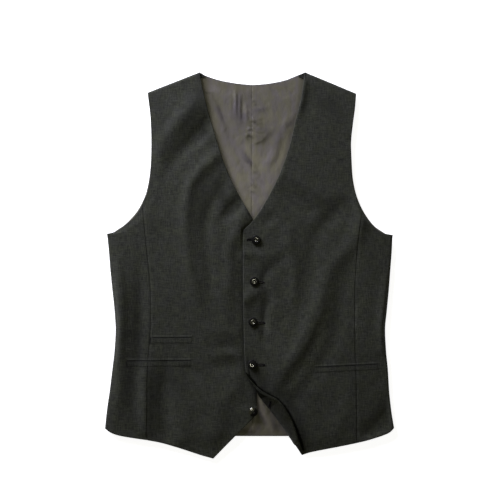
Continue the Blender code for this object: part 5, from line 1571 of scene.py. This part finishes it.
# painted shade on the facing, darker away from its rim and where the corner stands up; painted light
# near its rim towards the hem
facing_shade = (np.interp(from_rim, [0, 0.06, 0.2, 0.5, 0.88], [0.0, 0.10, 0.22, 0.28, 0.42])
                - 0.36 * smooth((along_fold - 42) / 15) * smooth((0.42 - from_rim) / 0.3))
facing_shade = facing_shade + (1 - smooth((along_fold - 25) / 14)) * (
    0.30 + 0.12 * smooth((from_rim - 0.05) / 0.10))
facing_shade = (facing_shade - 0.34 * smooth((along_fold - 72) / 12)
                + 0.20 * smooth((from_rim - 0.6) / 0.25)
                * (1 - smooth((along_fold - 60) / 18)))
set_shade(facing, np.tile(np.clip(facing_shade, -0.4, 0.94), 2))
paint_shade_without_sheen(facing, np.tile(along_fold, 2), (30, 42))
finish_cloth(facing, ["front_left_facing"])

coarse_flank = stations(FLANK_LEFT, 1)
last = len(coarse_flank) - 1
places = np.unique(np.concatenate([
    [0, 0.01, 0.03, 0.06, 0.1, 0.16, 0.24, 0.34],
    np.linspace(0.5, last - 0.3, 110),
    [last - .22, last - .14, last - .08, last - .04, last - .018, last - .006, last]]))
down_side = at_rows(coarse_flank, places)
down_seam = at_rows(stations(ROWS_LEFT, 1)[:last + 1], places)
seam = edge(through(SEAM_LEFT), down_seam)
seam[:, 0] += SEAM_GAP
flank = edge(side_left, down_side)
share = spread(1.0, NEAR_EDGE, NEAR_SIDE, 2.3, span=56.0)
hem_pts, head = along(HEM_SIDE_LEFT, share), along(SCYE_LEFT, share)
hem_pts[0], hem_pts[-1] = seam[0], flank[0]
head[0], head[-1] = seam[-1], flank[-1]
grid = loft(seam, flank, hem_pts, head, share)
panel("front_left_side_cloth", grid, top_left, FRONT_T, wool_side,
      [grid[0], grid[-1], grid[:, -1]], [grid[:, 0]], "wool", ["front_left_side"])

# ------------------------------------------- shoulder strap ends in the neck
# the strap ends take the darker copy of the wool, painted shadow
for name, corners in (
        ("strap_end_right", ((199.1, 78.4), (205.4, 77.0), (199.5, 72.1),
                             (204.0, 74.6))),
        ("strap_end_left", ((298.0, 76.6), (304.9, 79.6), (300.4, 74.2),
                            (305.2, 72.1)))):
    a, b, c, d = (np.array(p, float) for p in corners)
    t = np.concatenate([[0, .03, .08, .15, .25], np.linspace(.35, .65, 6),
                        [.75, .85, .92, .97, 1]])
    grid = np.array([[(1 - v) * ((1 - u) * a + u * b) + v * ((1 - u) * c + u * d)
                      for u in t] for v in t])
    panel(f"{name}_cloth", grid,
          lambda x, y: LINING_TOP + GAP + TAB_T + 0.06 * soft_noise(x, y, 2.2, 21),
          TAB_T, wool_painted_shadow, [grid[0], grid[-1], grid[:, 0], grid[:, -1]], [],
          "wool", [name])

# --------------------------------------------------------------------- welts
for name, x1, y1, x2, y2 in WELTS:
    top = top_left if name.endswith("left") else top_right
    start, stop = np.array([x1, y1]), np.array([x2, y2])
    direction = (stop - start) / np.hypot(*(stop - start))
    downwards = np.array([-direction[1], direction[0]])
    length = np.hypot(*(stop - start)) * SQUARE
    u = spread(1.0, [0, .12, .3, .55, .9, 1.5, 2.6], [0, .12, .3, .55, .9, 1.5, 2.6], 1.6,
               span=length)
    out = np.array([row[0] for row in WELT_SECTION])
    rise = np.array([row[1] for row in WELT_SECTION])
    dark = np.array([row[2] for row in WELT_SECTION])
    grid = np.array([[start + (stop - start) * a + downwards * b / SQUARE for a in u]
                     for b in out[::-1]])
    from_end = np.minimum(u, 1 - u) * length
    # the ends are tacked down flat, and the lip above the mouth dies away
    tacked = smooth(from_end / 0.8)[None, :]
    lip = smooth((from_end + 0.5) / 7)[None, :]
    rows_out = out[::-1][:, None]
    height = rise[::-1][:, None] * np.where(rows_out < 0, lip, 0.25 + 0.75 * tacked)
    height = np.where(rows_out < 0, np.maximum(height, 0.06), height)
    flat = grid.reshape(-1, 2)
    x, y = flat[:, 0], flat[:, 1]
    base = top(x, y)
    slack = 0.05 * soft_noise(x, y, 5, int(x1)) * (np.repeat(rows_out.ravel(), len(u)) > 1.3)
    upper = place(x, y, base + height.ravel() + slack)
    lower = place(x, y, base - 0.35 + 0 * x)
    faces = quads(len(out), len(u))
    pattern = pattern_of(x, y - 0.9)
    piece = shell(f"{name}_cloth", upper, lower, faces, [wool_front, pocket_mouth_painted_shadow], pattern)
    black = (dark[::-1][:-1] & dark[::-1][1:]).astype(bool)
    mark = np.repeat(black, len(u) - 1).astype(np.int32)
    index = np.zeros(len(piece.data.polygons), np.int32)
    index[:len(mark)] = mark
    piece.data.polygons.foreach_set("material_index", index)
    # the welts take the same painted shade
    set_shade(piece, np.tile(painted_shade(
        SHADE_LEFT if name.endswith("left") else SHADE_RIGHT, x, y), 2))
    finish_cloth(piece, [name])


# ----------------------------------------------------- thread, holes and buttons
def tube(path, radius, sides=6, flat=1.0):
    """Points and faces of a round, closed strand; radius may vary along it."""
    path = np.asarray(path, float)
    radius = np.broadcast_to(np.asarray(radius, float), len(path))
    ahead = np.gradient(path, axis=0)
    ahead /= np.maximum(np.linalg.norm(ahead, axis=1, keepdims=True), 1e-12)
    side = np.cross(ahead, np.array([0.0, 0.0, 1.0]))
    weak = np.linalg.norm(side, axis=1) < 1e-3
    side[weak] = np.cross(ahead[weak], np.array([0.0, 1.0, 0.0]))
    side /= np.linalg.norm(side, axis=1, keepdims=True)
    lift = np.cross(side, ahead)
    turn = np.arange(sides) * 2 * math.pi / sides
    points = (path[:, None, :]
              + radius[:, None, None] * (np.cos(turn)[None, :, None] * side[:, None, :]
                                         + flat * np.sin(turn)[None, :, None]
                                         * lift[:, None, :]))
    points = points.reshape(-1, 3)
    faces = []
    for k in range(len(path) - 1):
        for c in range(sides):
            d = (c + 1) % sides
            faces.append([k * sides + c, k * sides + d,
                          (k + 1) * sides + d, (k + 1) * sides + c])
    faces.append(list(range(sides))[::-1])
    faces.append([(len(path) - 1) * sides + c for c in range(sides)])
    return points, faces


def joined(name, parts, material):
    """One object of many closed strands."""
    points, faces, count = [], [], 0
    for p, f in parts:
        points.append(p)
        faces += [[v + count for v in g] for g in f]
        count += len(p)
    piece = make(name, np.concatenate(points), faces, material)
    bm = bmesh.new()
    bm.from_mesh(piece.data)
    bmesh.ops.recalc_face_normals(bm, faces=bm.faces)
    bm.to_mesh(piece.data)
    bm.free()
    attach(piece, "root")
    return piece


def keyhole(before, after, half, eye):
    """Outline of a buttonhole round its eye: mm along it, mm across it, and
    the outward direction; before and after are how far it runs each way."""
    out = []
    meet = math.asin(half / eye)
    step = 0.42
    for sign, reach in ((1, after), (-1, before)):
        base = 0.0 if sign > 0 else math.pi
        if reach <= eye:
            for a in np.arange(base - meet, base + meet, step / eye):
                out.append((eye * math.cos(a), eye * math.sin(a), a))
        else:
            x0 = eye * math.cos(meet)
            straight = np.arange(x0, reach - half, step)
            out += [(sign * v, -sign * half, -sign * math.pi / 2) for v in straight]
            for a in np.linspace(-math.pi / 2, math.pi / 2, 7):
                out.append((sign * (reach - half + half * math.cos(a)),
                            sign * half * math.sin(a), base + a))
            out += [(sign * v, sign * half, sign * math.pi / 2) for v in straight[::-1]]
        for a in np.arange(base + meet + step / eye, base + math.pi - meet, step / eye):
            out.append((eye * math.cos(a), eye * math.sin(a), a))
    return out


def carve(piece, cutters, second):
    """Cuts closed shapes out of a piece; the cut walls take the second material."""
    tool = bpy.data.objects.new("cutter", bpy.data.meshes.new("cutter"))
    bpy.context.scene.collection.objects.link(tool)
    points, faces, count = [], [], 0
    for p, f in cutters:
        points += [tuple(v) for v in p]
        faces += [[v + count for v in g] for g in f]
        count += len(p)
    tool.data.from_pydata(points, [], faces)
    bm = bmesh.new()
    bm.from_mesh(tool.data)
    bmesh.ops.recalc_face_normals(bm, faces=bm.faces)
    bm.to_mesh(tool.data)
    bm.free()
    if second is not None:
        for worn in piece.data.materials:
            tool.data.materials.append(worn)
        tool.data.materials.append(second)
        piece.data.materials.append(second)
        tool.data.polygons.foreach_set(
            "material_index", [len(tool.data.materials) - 1] * len(tool.data.polygons))
    cut = piece.modifiers.new("cut", "BOOLEAN")
    cut.operation, cut.solver, cut.object = "DIFFERENCE", "EXACT", tool
    held = bpy.context.evaluated_depsgraph_get()
    fresh = bpy.data.meshes.new_from_object(piece.evaluated_get(held))
    piece.modifiers.remove(cut)
    piece.data = fresh
    bpy.data.objects.remove(tool)
    return piece


STITCH = [(-0.28, -0.75), (-0.16, -0.15), (-0.02, 0.26), (0.22, 0.40), (0.5, 0.30),
          (0.85, 0.27), (1.12, 0.16), (1.28, -0.12)]
cutters, worked = [], []
for number, (x1, x2, eye_x, eye_y) in enumerate(BUTTONHOLES, 1):
    before, after = (eye_x - x1) * SQUARE, (x2 - eye_x) * SQUARE
    line = keyhole(before, after, SLOT_W / 2, SLOT_EYE_R)
    ring = np.array([(u, v) for u, v, a in line])
    hx, hy = eye_x + ring[:, 0] / SQUARE, eye_y - ring[:, 1] / SQUARE
    top = top_left(hx, hy)
    high, low = place(hx, hy, top + 2.5), place(hx, hy, top - FRONT_T - 1.2)
    count = len(ring)
    walls = [[k, (k + 1) % count, (k + 1) % count + count, k + count]
             for k in range(count)]
    cutters.append((np.concatenate([low, high]),
                    walls + [list(range(count))[::-1], [k + count for k in range(count)]]))
    strands = []
    for k, (u, v, a) in enumerate(line):
        wobble = 0.10 * (hash_noise(k, number, 5) - 0.5)
        longer = 1.0 + 0.14 * (hash_noise(k, number, 9) - 0.5)
        d = np.array([row[0] * longer for row in STITCH])
        su = u + d * math.cos(a + wobble)
        sv = v + d * math.sin(a + wobble)
        sx, sy = eye_x + su / SQUARE, eye_y - sv / SQUARE
        z = top_left(sx, sy) + np.array([row[1] for row in STITCH])
        strands.append(tube(place(sx, sy, z), 0.00020, 6))
    # the bar across each end
    for sign, reach in ((1, after), (-1, before)):
        if reach > SLOT_EYE_R:
            for k in range(5):
                bar = np.linspace(-1.5, 1.5, 7)
                along_it = sign * (reach + 0.35 + 0.36 * k)
                bx = eye_x + (along_it + 0 * bar) / SQUARE
                by = eye_y - bar / SQUARE
                z = top_left(bx, by) + 0.32 * np.sqrt(np.maximum(1 - (bar / 1.55) ** 2, 0)) + 0.04
                strands.append(tube(place(bx, by, z), 0.00022, 6))
    worked.append((f"buttonhole_{number}_thread", strands))

# the fifth, through the turned-back corner and its facing
(s1, d1), (s2, d2) = HOLE_5
span = math.hypot((s2 - s1) * SQUARE, d2 - d1)
ahead_s, ahead_d = (s2 - s1) * SQUARE / span, (d2 - d1) / span


def on_corner(u, v, off):
    """A point of the corner's inner side, u mm along the buttonhole."""
    u, v = np.atleast_1d(u), np.atleast_1d(v)
    return turned(s1 + (u * ahead_s - v * ahead_d) / SQUARE,
                  d1 + u * ahead_d + v * ahead_s, off + 0 * u)


line = keyhole(1.0, span, SLOT_W / 2, 1.35)
ring = np.array([(u, v) for u, v, a in line])
count = len(ring)
cutters_5 = [(np.concatenate([on_corner(ring[:, 0], ring[:, 1], -1.2),
                              on_corner(ring[:, 0], ring[:, 1], 4.6)]),
              [[k, (k + 1) % count, (k + 1) % count + count, k + count]
               for k in range(count)]
              + [list(range(count))[::-1], [k + count for k in range(count)]])]
strands = []
for k, (u, v, a) in enumerate(line):
    d = np.array([row[0] for row in STITCH])
    spots = [on_corner(u + dd * math.cos(a), v + dd * math.sin(a),
                       3.12 + row[1])[0] for dd, row in zip(d, STITCH)]
    strands.append(tube(spots, 0.00020, 6))
for k in range(4):
    bar = np.linspace(-1.3, 1.3, 6)
    off = 3.12 + 0.30 * np.sqrt(np.maximum(1 - (bar / 1.35) ** 2, 0))
    strands.append(tube(on_corner(span + 0.3 + 0.36 * k + 0 * bar, bar, off), 0.00020, 6))
worked.append(("buttonhole_5_thread", strands))

carve(front_left, cutters + cutters_5, thread_black)
carve(facing, cutters_5, thread_black)
for name, strands in worked:
    joined(name, strands, thread_black)

# radius, height: from the middle of the dish over the rim to the underside
BUTTON_SECTION = [
    (0.0, 1.88), (0.9, 1.92), (1.6, 2.04), (1.95, 2.24), (2.15, 2.42), (2.35, 2.58),
    (2.5, 2.69), (2.7, 2.750), (3.0, 2.765), (3.4, 2.765), (3.72, 2.750),
    (3.95, 2.70), (4.2, 2.62), (4.45, 2.53), (4.8, 2.45), (5.4, 2.40), (6.0, 2.34),
    (6.6, 2.25), (7.05, 2.14), (7.3, 2.03), (7.42, 1.93), (7.5, 1.80), (7.58, 1.58),
    (7.68, 1.20), (7.75, 0.80), (7.66, 0.56), (7.35, 0.38), (6.7, 0.24),
    (5.6, 0.12), (3.5, 0.03), (0.0, 0.0)]
# a polished bead stands in a matt rim, and is worn matt on one side: towards
# which side in degrees, and how far round either way
MATT_SIDE = {
    "button_1": (215, 80), "button_4": (60, 92),
    "button_5": (-40, 100),
}
AROUND = 72
for name, bx, by, sx, sy, tilt, cross_tilt, turn in BUTTONS:
    lapped = name != "button_5"
    cloth = float((top_left if lapped else top_right)(np.array([bx]), np.array([by]))[0])
    lean = math.radians(abs(tilt) + 0.5 * abs(cross_tilt))
    seat = cloth + 0.6 + math.sin(lean) * BUTTON_R * 0.6
    spot = place(bx, by, seat)
    rings = [(r, h) for r, h in BUTTON_SECTION if r > 0]
    points = [(0, 0, BUTTON_SECTION[0][1]), (0, 0, 0)]
    for r, h in rings:
        points += [(r * math.cos(2 * math.pi * k / AROUND),
                    r * math.sin(2 * math.pi * k / AROUND), h) for k in range(AROUND)]
    faces = []
    for k in range(AROUND):
        m = (k + 1) % AROUND
        faces.append([0, 2 + k, 2 + m])
        for row in range(len(rings) - 1):
            a = 2 + row * AROUND
            faces.append([a + k, a + AROUND + k, a + AROUND + m, a + m])
        a = 2 + (len(rings) - 1) * AROUND
        faces.append([1, a + m, a + k])
    points = np.array(points) / 1000
    frame_of = (Matrix.Translation(spot) @ Matrix.Rotation(math.radians(tilt), 4, "Y")
                @ Matrix.Rotation(math.radians(cross_tilt), 4, "X")
                @ Matrix.Rotation(math.radians(turn), 4, "Z"))
    button = make(f"{name}_horn", points, faces, horn)
    bars = []
    for hx in (-1, 1):
        for hy in (-1, 1):
            ring = [(hx * BUTTON_HOLE_OUT + BUTTON_HOLE_R * math.cos(2 * math.pi * k / 24),
                     hy * BUTTON_HOLE_OUT + BUTTON_HOLE_R * math.sin(2 * math.pi * k / 24))
                    for k in range(24)]
            bars.append((np.array([(a, b, -1.0) for a, b in ring]
                                  + [(a, b, 4.5) for a, b in ring]) / 1000,
                         [[k, (k + 1) % 24, (k + 1) % 24 + 24, k + 24] for k in range(24)]
                         + [list(range(24))[::-1], [k + 24 for k in range(24)]]))
    carve(button, bars, None)
    button.data.materials.append(horn_matt)
    matt = len(button.data.materials) - 1
    side, reach_round = MATT_SIDE.get(name, (0, 0))
    for face in button.data.polygons:
        across, up = face.center.x * 1000, face.center.y * 1000
        away = (math.degrees(math.atan2(up, across)) + turn - side + 180) % 360 - 180
        if (name != "button_5" and math.hypot(across, up) > 4.3) or (
                abs(away) < reach_round and math.hypot(across, up) > 1.2):
            face.material_index = matt
    button.data.transform(frame_of)
    button.data.shade_smooth()
    button.data.set_sharp_from_angle(angle=math.radians(38))
    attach(button, "root")
    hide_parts(name)
    strands = []
    for hy in (-1, 1):
        for k in range(5):
            off = (k - 2) * 0.26
            path = [(-1.5 + 0.1 * off, hy * 1.55 + off * 0.5, 0.9),
                    (-1.42, hy * 1.55 + off * 0.7, 1.8), (-1.05, hy * 1.55 + off, 2.26),
                    (-0.5, hy * 1.55 + off * 1.1, 2.40), (0, hy * 1.55 + off * 1.1, 2.44),
                    (0.5, hy * 1.55 + off * 1.1, 2.40), (1.05, hy * 1.55 + off, 2.26),
                    (1.42, hy * 1.55 + off * 0.7, 1.8), (1.5 + 0.1 * off, hy * 1.55 + off * 0.5, 0.9)]
            strands.append(tube(np.array(path) / 1000, 0.00015, 6))
    sewn = joined(f"{name}_thread", strands, thread_black)
    sewn.data.transform(frame_of)

# the thread tack at the left armhole
strands = []
for k in range(7):
    t = np.linspace(-1, 1, 7)
    tx = 351.6 + 0.55 * t + (k - 3) * 0.12
    ty = 127.6 - 1.5 * t + (k - 3) * 0.10
    z = top_left(tx, ty) + 0.35 * np.sqrt(np.maximum(1 - t ** 2, 0)) + 0.03
    strands.append(tube(place(tx, ty, z), 0.00022, 6))
joined("armhole_tack_thread", strands, thread_black)

# the bar tacks that close the ends of the pocket mouths
for name, tx, ty0, ty1 in (("welt_ticket", 150.5, 337.7, 343.6),
                           ("welt_lower_right", 126.9, 361.0, 366.0)):
    strands = []
    for k in range(3):
        t = np.linspace(0, 1, 15)
        px = tx + 0.10 * (k - 1) + 0.12 * (np.arange(15) % 2)
        py = ty0 + (ty1 - ty0) * t
        z = top_right(px, py) + 0.16 + 0.08 * (k == 1)
        strands.append(tube(place(px, py, z), 0.00017, 6))
    joined(f"{name}_tack_thread", strands, thread_black)

# the shanks keep their shape, and take the thread
for name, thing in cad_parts.items():
    if name.startswith("shank"):
        for slot in thing.material_slots:
            slot.material = thread_black
        if not thing.material_slots:
            thing.data.materials.append(thread_black)

# -------------------------------------------------------------- floor, lights
floor_mesh = bpy.data.meshes.new("floor")
floor_mesh.from_pydata([(-6, -6, 0), (6, -6, 0), (6, 6, 0), (-6, 6, 0)], [],
                       [(0, 1, 2, 3)])
floor = bpy.data.objects.new("floor", floor_mesh)
bpy.context.scene.collection.objects.link(floor)
floor.location = (0, 0, -0.0004)
n = Nodes("floor_white")
n.set(Base_Color=(0.88, 0.88, 0.88, 1.0), Roughness=0.9, Specular_IOR_Level=0.1,
      Emission_Color=(0.99, 0.99, 1.02, 1.0), Emission_Strength=0.84)
n.material.cycles.emission_sampling = "NONE"
floor_mesh.materials.append(n.material)

world = bpy.data.worlds.new("studio")
bpy.context.scene.world = world
world.use_nodes = True
world.node_tree.nodes["Background"].inputs["Color"].default_value = (1.0, 0.975, 0.55, 1)
world.node_tree.nodes["Background"].inputs["Strength"].default_value = 0.08


def softbox(name, location, target, size, size_y, power, colour):
    data = bpy.data.lights.new(name, "AREA")
    data.shape = "RECTANGLE"
    data.size, data.size_y = size, size_y
    data.energy = power
    data.color = colour
    lamp = bpy.data.objects.new(name, data)
    bpy.context.scene.collection.objects.link(lamp)
    lamp.location = location
    aim = Vector(target) - Vector(location)
    lamp.rotation_euler = aim.to_track_quat("-Z", "Y").to_euler()
    return lamp


softbox("key", (-1.05, 1.41, 0.50), (0, 0.02, 0), 1.0, 0.8, 77, (0.95, 0.955, 1.08))
softbox("overhead", (-0.05, 0.15, 2.6), (0, 0.02, 0), 0.5, 0.5, 6, (1.0, 0.975, 0.76))

camera_data = bpy.data.cameras.new("camera")
camera_data.lens = 85
camera_data.sensor_width = 36
camera_data.clip_end = 50
camera = bpy.data.objects.new("camera", camera_data)
bpy.context.scene.collection.objects.link(camera)
camera.location = (0.00083, 0.02548, 0.830 * 85 / 36 + 0.005)
camera.rotation_euler = (0, 0, 0)
bpy.context.scene.camera = camera
bpy.context.scene.view_settings.view_transform = "Standard"
bpy.context.scene.view_settings.look = "None"
